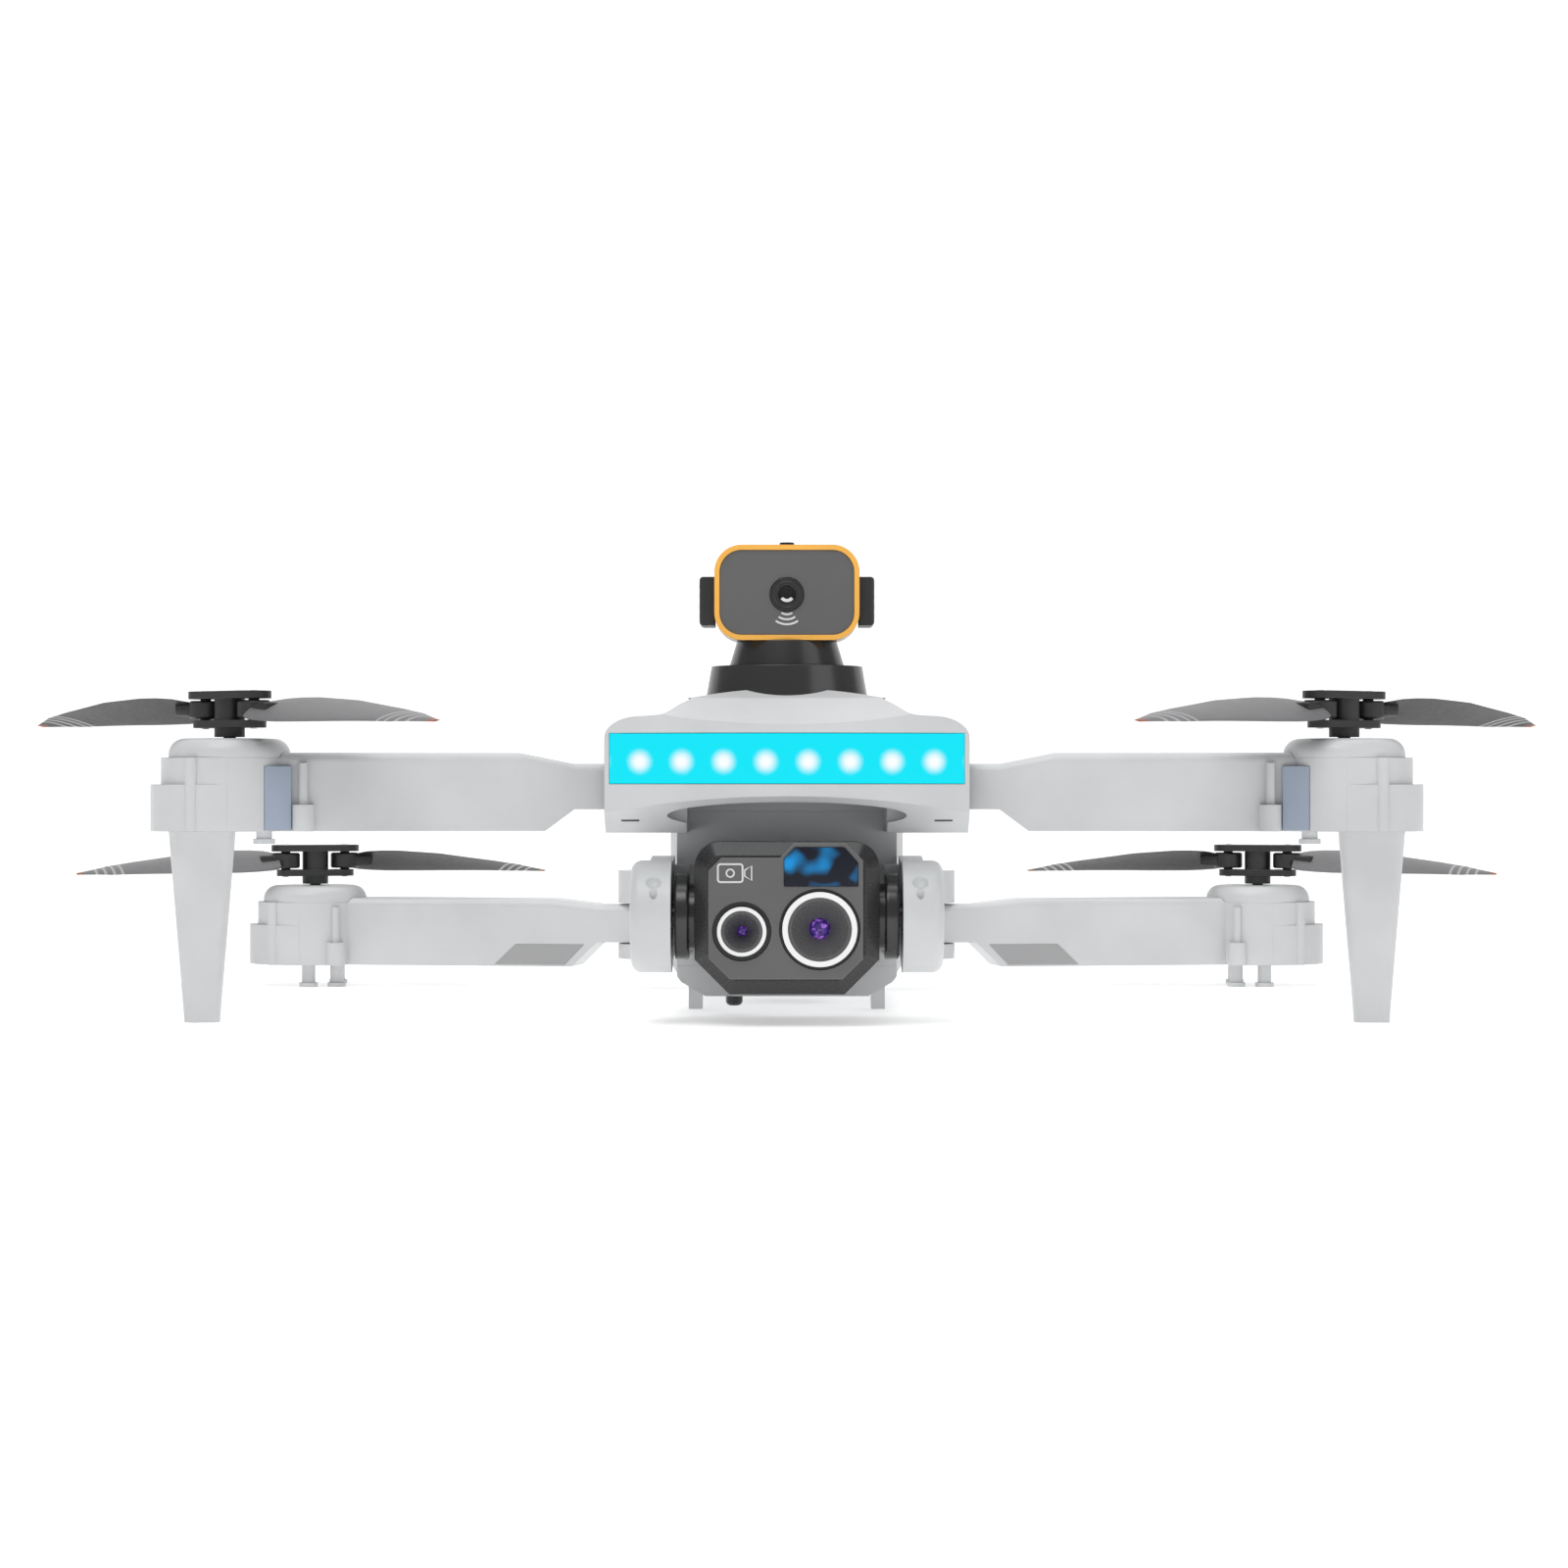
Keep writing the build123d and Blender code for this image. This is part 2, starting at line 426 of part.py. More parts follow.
# ---- belly cover: closes the fuselage, carries the lower rear yokes and the two small feet ----
def belly_cover():
    plan = plan_prism(fuselage_plan(0.0, FUSELAGE_FRONT_Y, BODY_TAIL_Y), BELLY_Z, BELLY_SPLIT_Z)
    section = symmetric_outline((BELLY_FLAT_HALF_WIDTH, BELLY_Z),
                                (FUSELAGE_FRONT_HALF_WIDTH - 1.0, BELLY_Z + 3.5),
                                (FUSELAGE_HALF_WIDTH, BELLY_SPLIT_Z))
    rounded = plan & front_prism(section, FUSELAGE_FRONT_Y, BODY_TAIL_Y)
    room = plan_prism(fuselage_plan(2 * WALL, FUSELAGE_FRONT_Y + WALL, SCREW_REAR_Y - 3.0),
                      BELLY_Z + WALL, BELLY_SPLIT_Z)
    ear_zone = rear_ear(REAR_EAR_LOW_Z, BELLY_SPLIT_Z)
    boss = post(SCREW_HEAD_RADIUS + 1.2, BELLY_Z, BELLY_SPLIT_Z, SCREW_X, SCREW_FRONT_Y)
    in_room = block(-2 * SCREW_X, 2 * SCREW_X, FUSELAGE_FRONT_Y + 0.1, 0, BELLY_Z, BELLY_SPLIT_Z)
    foot = block(BELLY_FOOT_X - 1.7, BELLY_FOOT_X + 1.7, BELLY_FOOT_Y - 4.0, BELLY_FOOT_Y + 4.0,
                 BELLY_FOOT_BOTTOM_Z, BELLY_Z + WALL + 0.5)
    cover = rounded - room + ear_zone + both_sides(boss & in_room) + both_sides(foot)
    pin_hole = post(PIN_RADIUS + 0.05, REAR_EAR_LOW_Z - 1.0, BELLY_SPLIT_Z + 1.0, PIVOT_HALF_SPAN,
                    PIVOT_FORE_AFT)
    head_hole = post(PIN_HEAD_RADIUS + 0.05, REAR_EAR_LOW_Z - 1.0,
                     REAR_EAR_LOW_Z + PIN_HEAD_HEIGHT + 0.05,
                     PIVOT_HALF_SPAN, PIVOT_FORE_AFT)
    cover -= both_sides(pin_hole + head_hole)
    for screw_y in (SCREW_FRONT_Y, SCREW_REAR_Y):
        bore = post(SCREW_RADIUS + 0.05, BELLY_Z - 1.0, BELLY_SPLIT_Z + 1.0, SCREW_X, screw_y)
        sink = post(SCREW_HEAD_RADIUS + SEAT_GAP, BELLY_Z - 1.0, BELLY_Z + SCREW_HEAD_HEIGHT + 0.3,
                    SCREW_X, screw_y)
        cover -= both_sides(bore + sink)
    return cover


def shell_screws():
    screws = []
    for side in (-1, 1):
        for screw_y in (SCREW_FRONT_Y, SCREW_REAR_Y):
            seat = BELLY_Z + 0.3 + SCREW_HEAD_HEIGHT
            head = post(SCREW_HEAD_RADIUS, BELLY_Z + 0.3, seat, side * SCREW_X, screw_y)
            slot_z = BELLY_Z + 0.3 + 0.6
            cross = block(side * SCREW_X - 1.2, side * SCREW_X + 1.2, screw_y - 0.3, screw_y + 0.3,
                          0, slot_z)
            cross += block(side * SCREW_X - 0.3, side * SCREW_X + 0.3, screw_y - 1.2, screw_y + 1.2,
                           0, slot_z)
            shank = post(SCREW_RADIUS - 0.05, seat, BELLY_SPLIT_Z + 4.0, side * SCREW_X, screw_y)
            screws.append(head + shank - cross)
    return group(*screws)


def arm_pivot_pins():
    pins = []
    for side in (-1, 1):
        front_head = post(PIN_HEAD_RADIUS, NOSE_BOTTOM_Z, NOSE_BOTTOM_Z + PIN_HEAD_HEIGHT,
                          side * PIVOT_HALF_SPAN, -PIVOT_FORE_AFT)
        front_stem = post(PIN_RADIUS, NOSE_BOTTOM_Z, YOKE_SLOT_HIGH_Z + 6.0, side * PIVOT_HALF_SPAN,
                          -PIVOT_FORE_AFT)
        rear_head = post(PIN_HEAD_RADIUS, REAR_EAR_LOW_Z, REAR_EAR_LOW_Z + PIN_HEAD_HEIGHT,
                         side * PIVOT_HALF_SPAN, PIVOT_FORE_AFT)
        rear_stem = post(PIN_RADIUS, REAR_EAR_LOW_Z, REAR_EAR_HIGH_Z - WALL, side * PIVOT_HALF_SPAN,
                         PIVOT_FORE_AFT)
        pins += [front_head + front_stem, rear_head + rear_stem]
    return group(*pins)


def belly_sensor():
    barrel = post(SENSOR_RADIUS, SENSOR_TIP_Z, BELLY_Z, SENSOR_X, SENSOR_Y)
    return fillet(barrel.edges().group_by(Axis.Z)[0], SENSOR_RADIUS * 0.6)


def main_board():
    floor = BATTERY_HIGH_Z + BATTERY_GAP + WALL
    board = block(-20.0, 20.0, BATTERY_FRONT_Y + 6.0, BATTERY_FRONT_Y + 56.0, floor + 1.5,
                  floor + 1.5 + BOARD_THICKNESS)
    for x in (-17.0, 17.0):
        for y in (BATTERY_FRONT_Y + 9.0, BATTERY_FRONT_Y + 53.0):
            board += post(2.0, floor, floor + 1.5, x, y)
    chips_z = floor + 1.5 + BOARD_THICKNESS
    board += block(-7.0, 7.0, BATTERY_FRONT_Y + 22.0, BATTERY_FRONT_Y + 36.0, chips_z, chips_z + 1.4)
    board += block(-16.0, -10.0, BATTERY_FRONT_Y + 40.0, BATTERY_FRONT_Y + 50.0, chips_z, chips_z + 1.8)
    board += block(9.0, 17.0, BATTERY_FRONT_Y + 12.0, BATTERY_FRONT_Y + 18.0, chips_z, chips_z + 3.0)
    return board


# ---- battery: case with a grip cap, two cells inside and a press latch ----
def battery():
    case = block(-BATTERY_HALF_WIDTH, BATTERY_HALF_WIDTH, BATTERY_FRONT_Y, BODY_TAIL_Y + 0.4,
                 BATTERY_LOW_Z, BATTERY_HIGH_Z)
    cap = block(-TAIL_HALF_WIDTH + 1.0, TAIL_HALF_WIDTH - 1.0, BODY_TAIL_Y + 0.4,
                BODY_TAIL_Y + 0.4 + BATTERY_CAP_DEPTH, BATTERY_LOW_Z - 2.4, BATTERY_HIGH_Z + 3.4)
    cap = fillet(cap.edges().filter_by(Axis.Y), 3.0)
    cap = fillet(cap.edges().group_by(Axis.Y)[-1], 1.5)
    room = block(-BATTERY_HALF_WIDTH + 1.5, BATTERY_HALF_WIDTH - 1.5, BATTERY_FRONT_Y + 1.5,
                 BODY_TAIL_Y - 1.5,
                 BATTERY_LOW_Z + 1.5, BATTERY_HIGH_Z - 1.5)
    notch = block(-LATCH_HALF_WIDTH - BUTTON_GAP, LATCH_HALF_WIDTH + BUTTON_GAP, BODY_TAIL_Y + 1.4,
                  BODY_TAIL_Y + 4.2, BATTERY_HIGH_Z - 7.0 - LATCH_TRAVEL, BATTERY_HIGH_Z + 10.0)
    pieces["battery_case"] = case + cap - room - notch
    cells = []
    for low, high in ((BATTERY_LOW_Z + 1.9, BATTERY_LOW_Z + 11.8),
                      (BATTERY_LOW_Z + 12.2, BATTERY_HIGH_Z - 1.9)):
        cells.append(block(-BATTERY_HALF_WIDTH + 2.0, BATTERY_HALF_WIDTH - 2.0, BATTERY_FRONT_Y + 2.5,
                           BODY_TAIL_Y - 5.0, low, high))
    pieces["battery_cells"] = group(*cells)
    pieces["battery_latch"] = block(-LATCH_HALF_WIDTH, LATCH_HALF_WIDTH, BODY_TAIL_Y + 1.6,
                                    BODY_TAIL_Y + 4.0,
                                    BATTERY_HIGH_Z - 6.5, BATTERY_HIGH_Z + 5.2)


def power_button():
    stem = post(BUTTON_RADIUS, BUTTON_FLANGE_Z, BUTTON_TOP_Z, 0.0, BUTTON_Y)
    stem = fillet(stem.edges().group_by(Axis.Z)[-1], 0.6)
    flange = post(BUTTON_RADIUS + 1.2, BUTTON_FLANGE_Z - 1.2, BUTTON_FLANGE_Z, 0.0, BUTTON_Y)
    return stem + flange


# ---- camera cheeks: a drum each side with a fork arm back to the bulkhead ----
def camera_cheeks():
    drum = cross_rod(CHEEK_RADIUS, CHEEK_INNER_X, CHEEK_OUTER_X, CAMERA_AXLE_Y, CAMERA_AXLE_Z)
    drum = fillet(drum.edges().group_by(Axis.X)[-1], 2.6)
    fork = side_prism(outline((CAMERA_AXLE_Y, CAMERA_AXLE_Z - 11.0),
                              (FUSELAGE_FRONT_Y, CAMERA_AXLE_Z - 10.0),
                              (FUSELAGE_FRONT_Y, CAMERA_AXLE_Z + 14.0),
                              (CAMERA_AXLE_Y, CAMERA_AXLE_Z + 12.0)),
                      CHEEK_INNER_X, CHEEK_OUTER_X - 4.0)
    foot = block(FUSELAGE_FRONT_HALF_WIDTH - 3.5, CHEEK_INNER_X, FUSELAGE_FRONT_Y - 12.0,
                 FUSELAGE_FRONT_Y,
                 CAMERA_AXLE_Z - 10.0, CAMERA_AXLE_Z + 12.0)
    bore = cross_rod(AXLE_STUB_RADIUS + RUN_GAP, CHEEK_INNER_X - 1.0, AXLE_STUB_X + 0.4,
                     CAMERA_AXLE_Y, CAMERA_AXLE_Z)
    dimple_x = (CHEEK_INNER_X + CHEEK_OUTER_X) / 2 - 0.8
    dimple = Pos(dimple_x, CAMERA_AXLE_Y - CHEEK_RADIUS + 1.9, CAMERA_AXLE_Z + 9.2) * Sphere(2.3)
    point = Rot(16, 0, 0) * Cone(0.3, 2.0, 5.6)
    dimple += Pos(dimple_x, CAMERA_AXLE_Y - CHEEK_RADIUS + 0.9, CAMERA_AXLE_Z + 6.4) * point
    cheek = drum + fork + foot - bore - dimple
    return group(cheek, mirror(cheek, Plane.YZ))


# ---- camera pod ----
def camera_outline(inset):
    low = CAMERA_AXLE_Z - CAMERA_HALF_HEIGHT
    high = CAMERA_AXLE_Z + CAMERA_HALF_HEIGHT
    cut = 8.2
    corner = 6.0
    face = symmetric_outline((CAMERA_HALF_WIDTH - cut, low), (CAMERA_HALF_WIDTH, low + cut),
                             (CAMERA_HALF_WIDTH, high))
    face = fillet(face.vertices().group_by(Axis.Y)[-1], corner)
    if inset > 0:
        face = offset(face, -inset, kind=Kind.INTERSECTION)
    return face


def camera_form(inset):
    low = CAMERA_AXLE_Z - CAMERA_HALF_HEIGHT + inset
    high = CAMERA_AXLE_Z + CAMERA_HALF_HEIGHT - inset
    front = CAMERA_FRONT_Y + inset
    back = CAMERA_AXLE_Y + CAMERA_HALF_HEIGHT - inset
    square = Polyline((CAMERA_AXLE_Y, low), (front, low), (front, high), (CAMERA_AXLE_Y, high))
    round_back = ThreePointArc((CAMERA_AXLE_Y, high), (back, CAMERA_AXLE_Z), (CAMERA_AXLE_Y, low))
    side = make_face(Curve() + [square, round_back])
    return front_prism(camera_outline(inset), front, back) & side_prism(side, -CAMERA_HALF_WIDTH,
                                                                        CAMERA_HALF_WIDTH)


def lens_set(lens):
    x, z, ring_outer, ring_inner, recess, glass = lens
    face_front = CAMERA_FRONT_Y - FACE_THICKNESS
    ring = long_rod(ring_outer, face_front - 1.2, CAMERA_FRONT_Y + CAMERA_WALL, x, z)
    ring -= long_rod(ring_inner, face_front - 2.0, CAMERA_FRONT_Y + 5.0, x, z)
    barrel_back = CAMERA_FRONT_Y + 7.0
    barrel = long_rod(ring_inner - 0.02, face_front - 0.4, barrel_back, x, z)
    throat = Pos(x, face_front + 1.9, z) * Rot(90, 0, 0) * Cone(glass + 0.1, ring_inner - 0.7, 4.8)
    barrel -= throat
    barrel -= long_rod(glass + 0.05, face_front - 1.0, face_front + 6.5, x, z)
    glass_piece = long_rod(glass, face_front + 3.6, face_front + 6.4, x, z)
    glass_piece = fillet(glass_piece.edges().group_by(Axis.Y)[0], glass * 0.55)
    return ring, barrel, glass_piece


def camera():
    face_front = CAMERA_FRONT_Y - FACE_THICKNESS
    form = camera_form(0.0)
    form = chamfer(form.faces().sort_by(Axis.Y)[0].edges(), CAMERA_BEVEL)
    hollow = form - camera_form(CAMERA_WALL)
    front_half = block(-50, 50, CAMERA_FRONT_Y - 5.0, CAMERA_SPLIT_Y, 0, 60)
    shell = hollow & front_half
    face = outline((-18.4, 16.2), (-13.4, 11.3), (13.0, 11.3), (17.8, 16.0), (17.8, 43.2 - 4.0),
                   (13.8, 43.2), (1.6, 43.2), (-1.6, 39.8), (-15.4, 39.8), (-18.4, 36.8))
    plate = front_prism(face, face_front, CAMERA_FRONT_Y)
    window_face = outline((-0.6, 33.2), (16.6, 33.2), (16.6, 38.6), (13.4, 42.2), (1.9, 42.2),
                          (-0.6, 39.6))
    plate -= front_prism(offset(window_face, 0.12, kind=Kind.INTERSECTION), face_front - 1.0,
                         face_front + 0.8)
    pieces["camera_window"] = front_prism(window_face, face_front - 0.3, face_front + 0.75)
    rings = []
    barrels = []
    glasses = []
    for lens in (MAIN_LENS, SMALL_LENS):
        x, z, ring_outer, ring_inner, recess, glass = lens
        ring, barrel, glass_piece = lens_set(lens)
        rings.append(ring)
        barrels.append(barrel)
        glasses.append(glass_piece)
        plate -= long_rod(recess, face_front - 1.0, CAMERA_FRONT_Y + 1.0, x, z)
        shell -= long_rod(ring_outer + 0.05, CAMERA_FRONT_Y - 1.0,
                          CAMERA_FRONT_Y + CAMERA_WALL + 1.0, x, z)
    pieces["camera_shell"] = shell
    pieces["camera_back"] = hollow - front_half
    pieces["camera_face"] = plate
    pieces["lens_rings"] = group(*rings)
    pieces["lens_barrels"] = group(*barrels)
    pieces["lens_glasses"] = group(*glasses)
    axles = []
    for side in (-1, 1):
        collar = cross_rod(AXLE_COLLAR_RADIUS, CAMERA_HALF_WIDTH, AXLE_COLLAR_X, CAMERA_AXLE_Y,
                           CAMERA_AXLE_Z)
        disc = cross_rod(AXLE_DISC_RADIUS, AXLE_COLLAR_X, AXLE_DISC_X, CAMERA_AXLE_Y, CAMERA_AXLE_Z)
        disc = fillet(disc.edges(), 0.6)
        stub = cross_rod(AXLE_STUB_RADIUS, AXLE_DISC_X, AXLE_STUB_X, CAMERA_AXLE_Y, CAMERA_AXLE_Z)
        axle = collar + disc + stub
        axles.append(axle if side > 0 else mirror(axle, Plane.YZ))
    pieces["camera_axles"] = group(*axles)
    board_y = CAMERA_FRONT_Y + 7.2
    pieces["camera_board"] = block(-16.0, 16.0, board_y, board_y + BOARD_THICKNESS, CAMERA_AXLE_Z - 9.0,
                                   CAMERA_AXLE_Z + 13.0)


# ---- turning head with its fixed collar ----
def head():
    cone = taper_post(COLLAR_LOW_RADIUS + 0.5, COLLAR_TOP_RADIUS, BODY_TOP_Z - 3.0, COLLAR_TOP_Z,
                      0.0, HEAD_Y)
    bore = post(NECK_STUB_RADIUS + RUN_GAP, BODY_TOP_Z + 1.0, COLLAR_TOP_Z + 1.0, 0.0, HEAD_Y)
    pieces["neck_collar"] = cone - body_form(0.0) - bore
    neck = taper_post(NECK_LOW_RADIUS, NECK_TOP_RADIUS, COLLAR_TOP_Z + 0.2, HEAD_LOW_Z, 0.0, HEAD_Y)
    pieces["head_neck"] = neck + post(NECK_STUB_RADIUS, BODY_TOP_Z + 1.2, COLLAR_TOP_Z + 0.2, 0.0,
                                      HEAD_Y)
    middle_z = HEAD_LOW_Z + HEAD_HEIGHT / 2
    front_y = HEAD_Y - HEAD_DEPTH / 2
    back_y = HEAD_Y + HEAD_DEPTH / 2
    outline_face = Pos(0, middle_z) * RectangleRounded(HEAD_WIDTH, HEAD_HEIGHT, HEAD_CORNER)
    inner_face = offset(outline_face, -HEAD_TRIM_WIDTH)
    room_face = offset(outline_face, -WALL)
    trim_depth = 2.0
    shell = front_prism(outline_face, front_y + trim_depth, back_y)
    shell = fillet(shell.faces().sort_by(Axis.Y)[-1].edges(), 3.0)
    shell -= front_prism(room_face, front_y + trim_depth + 1.0, back_y - WALL)
    shell -= long_rod(HEAD_LENS_RADIUS + SEAT_GAP, front_y, front_y + 5.0, 0.0, HEAD_LENS_Z)
    nub = post(1.8, HEAD_LOW_Z + HEAD_HEIGHT - 1.5, HEAD_LOW_Z + HEAD_HEIGHT + 1.2, 0.0, HEAD_Y)
    pieces["head_shell"] = shell + nub
    trim = front_prism(outline_face - inner_face, front_y - 0.4, front_y + trim_depth)
    pieces["head_trim"] = trim
    face = front_prism(offset(inner_face, -0.05), front_y, front_y + trim_depth)
    face -= long_rod(HEAD_LENS_RADIUS + SEAT_GAP, front_y - 1.0, front_y + 5.0, 0.0, HEAD_LENS_Z)
    pieces["head_face"] = face
    lens = long_rod(HEAD_LENS_RADIUS, front_y - 0.5, front_y + 5.0, 0.0, HEAD_LENS_Z)
    lens -= long_rod(HEAD_PUPIL_RADIUS, front_y - 1.0, front_y + 3.0, 0.0, HEAD_LENS_Z)
    pieces["head_lens"] = lens
    sensor_z = HEAD_LOW_Z + HEAD_SENSOR_RISE
    pod = block(HEAD_WIDTH / 2, HEAD_WIDTH / 2 + HEAD_SENSOR_REACH, HEAD_Y - 7.0, HEAD_Y + 7.0,
                sensor_z - HEAD_SENSOR_HEIGHT / 2, sensor_z + HEAD_SENSOR_HEIGHT / 2)
    pod = fillet(pod.edges().group_by(Axis.X)[-1], 0.9)
    pieces["head_side_sensors"] = group(pod, mirror(pod, Plane.YZ))


# ---- arms: built along +X from the pivot, then turned to their open angle ----
def arm_length(sweep):
    return (MOTOR_HALF_SPAN - PIVOT_HALF_SPAN) / math.cos(math.radians(sweep))


def arm_shell(length, pod_z, root_low, root_high, tower_inboard, tower_lead):
    beam_top = pod_z + BEAM_HEIGHT
    side = outline((0, root_low), (ARM_ROOT_END, root_low), (ARM_ROOT_END + 7.0, pod_z), (length, pod_z),
                   (length, beam_top), (ARM_ROOT_END + 13.0, beam_top), (ARM_ROOT_END, root_high),
                   (0, root_high))
    beam = Pos(0, 30.0, 0) * Rot(90, 0, 0) * extrude(side, 60.0)
    plan = outline((0, -ARM_ROOT_HALF_WIDTH), (ARM_ROOT_END, -ARM_ROOT_HALF_WIDTH),
                   (length, -ARM_TIP_HALF_WIDTH),
                   (length, ARM_TIP_HALF_WIDTH), (ARM_ROOT_END, ARM_ROOT_HALF_WIDTH),
                   (0, ARM_ROOT_HALF_WIDTH))
    beam = beam & plan_prism(plan, pod_z - 5.0, pod_z + 40.0)
    high_edges = beam.edges().filter_by(lambda edge: edge.center().Z > root_high - 0.1)
    top_edges = high_edges.filter_by(lambda edge: abs(edge.center().Y) > 1.0 and edge.center().X > 1.0)
    beam = fillet(top_edges, BEAM_EDGE)
    eye = post(ARM_EYE_RADIUS, root_low, root_high)
    cover_low = pod_z + POD_HEIGHT - COVER_HEIGHT
    pod = post(POD_RADIUS, pod_z, cover_low, length)
    outboard = block(length, length + 40.0, -40.0, 40.0, pod_z, pod_z + 40.0)
    middle = Pos(length, 0, pod_z)
    skirt = middle * extrude(Ellipse(SKIRT_RADIUS, POD_RADIUS + 0.05), SKIRT_HEIGHT)
    tier = middle * extrude(Ellipse(TIER_RADIUS, POD_RADIUS + 0.02), TIER_HEIGHT)
    shell = beam + eye + pod + (skirt & outboard) + (tier & outboard)
    rib_y = POD_RADIUS * math.sqrt(1 - (RIB_OUTBOARD / TIER_RADIUS) ** 2)
    shell += post(RIB_RADIUS, pod_z, pod_z + TIER_HEIGHT, length + RIB_OUTBOARD, -rib_y)
    tower_x = length - tower_inboard
    shell += post(TOWER_FOOT_RADIUS, pod_z, pod_z + TOWER_FOOT_HEIGHT, tower_x, -tower_lead)
    shell += post(TOWER_RADIUS, pod_z, pod_z + TOWER_HEIGHT, tower_x, -tower_lead)
    shell -= post(POD_RADIUS + 0.1, cover_low, pod_z + 40.0, length)
    shell -= post(POD_RADIUS - POD_WALL, pod_z + POD_WALL, pod_z + 40.0, length)
    shell -= post(PIN_RADIUS + RUN_GAP, root_low - 1.0, root_high + 1.0)
    channel = block(ARM_ROOT_END + 16.0, length - POD_RADIUS - 2.0, 2.0 - ARM_ROOT_HALF_WIDTH,
                    ARM_ROOT_HALF_WIDTH - 2.0, pod_z + WALL, beam_top - WALL)
    return shell - channel


def motor_cover(length, pod_z):
    top = pod_z + POD_HEIGHT
    low = top - COVER_HEIGHT
    cover = post(POD_RADIUS, low, top, length)
    cover = fillet(cover.edges().group_by(Axis.Z)[-1], COVER_FILLET)
    cover -= post(POD_RADIUS - COVER_FILLET - 0.4, low - 1.0, top - POD_WALL, length)
    return cover - post(SHAFT_RADIUS + 0.7, low, top + 1.0, length)


def motor(length, pod_z):
    low = pod_z + POD_WALL
    can = post(MOTOR_RADIUS, low, low + MOTOR_HEIGHT, length)
    can = fillet(can.edges(), 0.8)
    ring = post(POD_RADIUS - POD_WALL - 0.05, low, low + 1.2, length)
    return can + ring - post(SHAFT_RADIUS + RUN_GAP, low + 3.0, low + 20.0, length)


def landing_leg(length, pod_z):
    top = Pos(length + LEG_OUTBOARD, 0, pod_z) * RectangleRounded(LEG_TOP_WIDTH, LEG_TOP_DEPTH,
                                                                  LEG_CORNER)
    tip = Pos(length + LEG_OUTBOARD, 0, 0) * RectangleRounded(LEG_TIP_WIDTH, LEG_TIP_DEPTH, LEG_CORNER)
    return loft([tip, top], ruled=True)


def side_lamp(length, pod_z, lead):
    # a tinted window that fills the hollow between the pod and the leading face of the arm
    reach = ARM_TIP_HALF_WIDTH + 4.2
    wedge = outline((length - FRONT_TOWER_INBOARD + 2.8, lead * ARM_TIP_HALF_WIDTH),
                    (length - 8.0, lead * ARM_TIP_HALF_WIDTH),
                    (length - 5.5, lead * reach), (length - FRONT_TOWER_INBOARD + 2.8,
                                                   lead * (ARM_TIP_HALF_WIDTH + 1.2)))
    lamp = plan_prism(wedge, pod_z + 0.3, pod_z + 15.6)
    return lamp - post(POD_RADIUS + 0.05, pod_z - 1.0, pod_z + 40.0, length)


def pod_feet(length, pod_z, drop):
    feet = []
    for x, y in ((length - 8.5, -7.0), (length - 1.0, -9.5), (length - 4.0, 9.0)):
        feet.append(post(1.9, pod_z - drop, pod_z, x, y)
                    + post(2.6, pod_z - drop, pod_z - drop + 1.2, x, y))
    return feet


def front_arms():
    length = arm_length(FRONT_SWEEP)
    place = Pos(PIVOT_HALF_SPAN, -PIVOT_FORE_AFT, 0) * Rot(0, 0, -FRONT_SWEEP)
    shell = arm_shell(length, FRONT_POD_Z, FRONT_ROOT_LOW_Z, FRONT_ROOT_HIGH_Z,
                      FRONT_TOWER_INBOARD, FRONT_TOWER_LEAD)
    shell += pod_feet(length, FRONT_POD_Z, 3.0)[0]
    add_pair("front_arm", place * shell)
    add_pair("front_motor_cover", place * motor_cover(length, FRONT_POD_Z))
    add_pair("front_motor", place * motor(length, FRONT_POD_Z))
    add_pair("landing_leg", place * landing_leg(length, FRONT_POD_Z))
    add_pair("arm_lamp", place * side_lamp(length, FRONT_POD_Z, -1))
    return place * Pos(length, 0, FRONT_POD_Z + POD_HEIGHT)


def rear_arms():
    length = arm_length(REAR_SWEEP)
    place = Pos(PIVOT_HALF_SPAN, PIVOT_FORE_AFT, 0) * Rot(0, 0, REAR_SWEEP)
    shell = arm_shell(length, REAR_POD_Z, REAR_ROOT_LOW_Z, REAR_ROOT_HIGH_Z,
                      REAR_TOWER_INBOARD, REAR_TOWER_LEAD)
    for foot in pod_feet(length, REAR_POD_Z, REAR_POD_Z):
        shell += foot
    add_pair("rear_arm", place * shell)
    add_pair("rear_motor_cover", place * motor_cover(length, REAR_POD_Z))
    add_pair("rear_motor", place * motor(length, REAR_POD_Z))
    return place * Pos(length, 0, REAR_POD_Z + POD_HEIGHT)


# ---- propellers: clamp hub on the motor shaft, two blades on hinge pins ----
# hand is the way the blades are pitched: neighbouring propellers turn opposite ways
def prop_hub():
    top = HUB_HEIGHT
    gap_high = top - HUB_PLATE
    gap_low = gap_high - BLADE_GAP
    hub = post(HUB_COLUMN_RADIUS, HUB_LIFT, gap_high)
    hub += Pos(0, 0, gap_high) * extrude(SlotOverall(HUB_TOP_LENGTH, HUB_TOP_WIDTH), HUB_PLATE)
    hub += Pos(0, 0, gap_low - HUB_PLATE) * extrude(SlotOverall(HUB_LOW_LENGTH, HUB_LOW_WIDTH),
                                                    HUB_PLATE)
    for side in (-1, 1):
        hub += post(BLADE_PIN_RADIUS, gap_low, gap_high, side * BLADE_PIN_OFFSET)
    return hub + post(SHAFT_RADIUS, -SHAFT_DEPTH, HUB_LIFT)


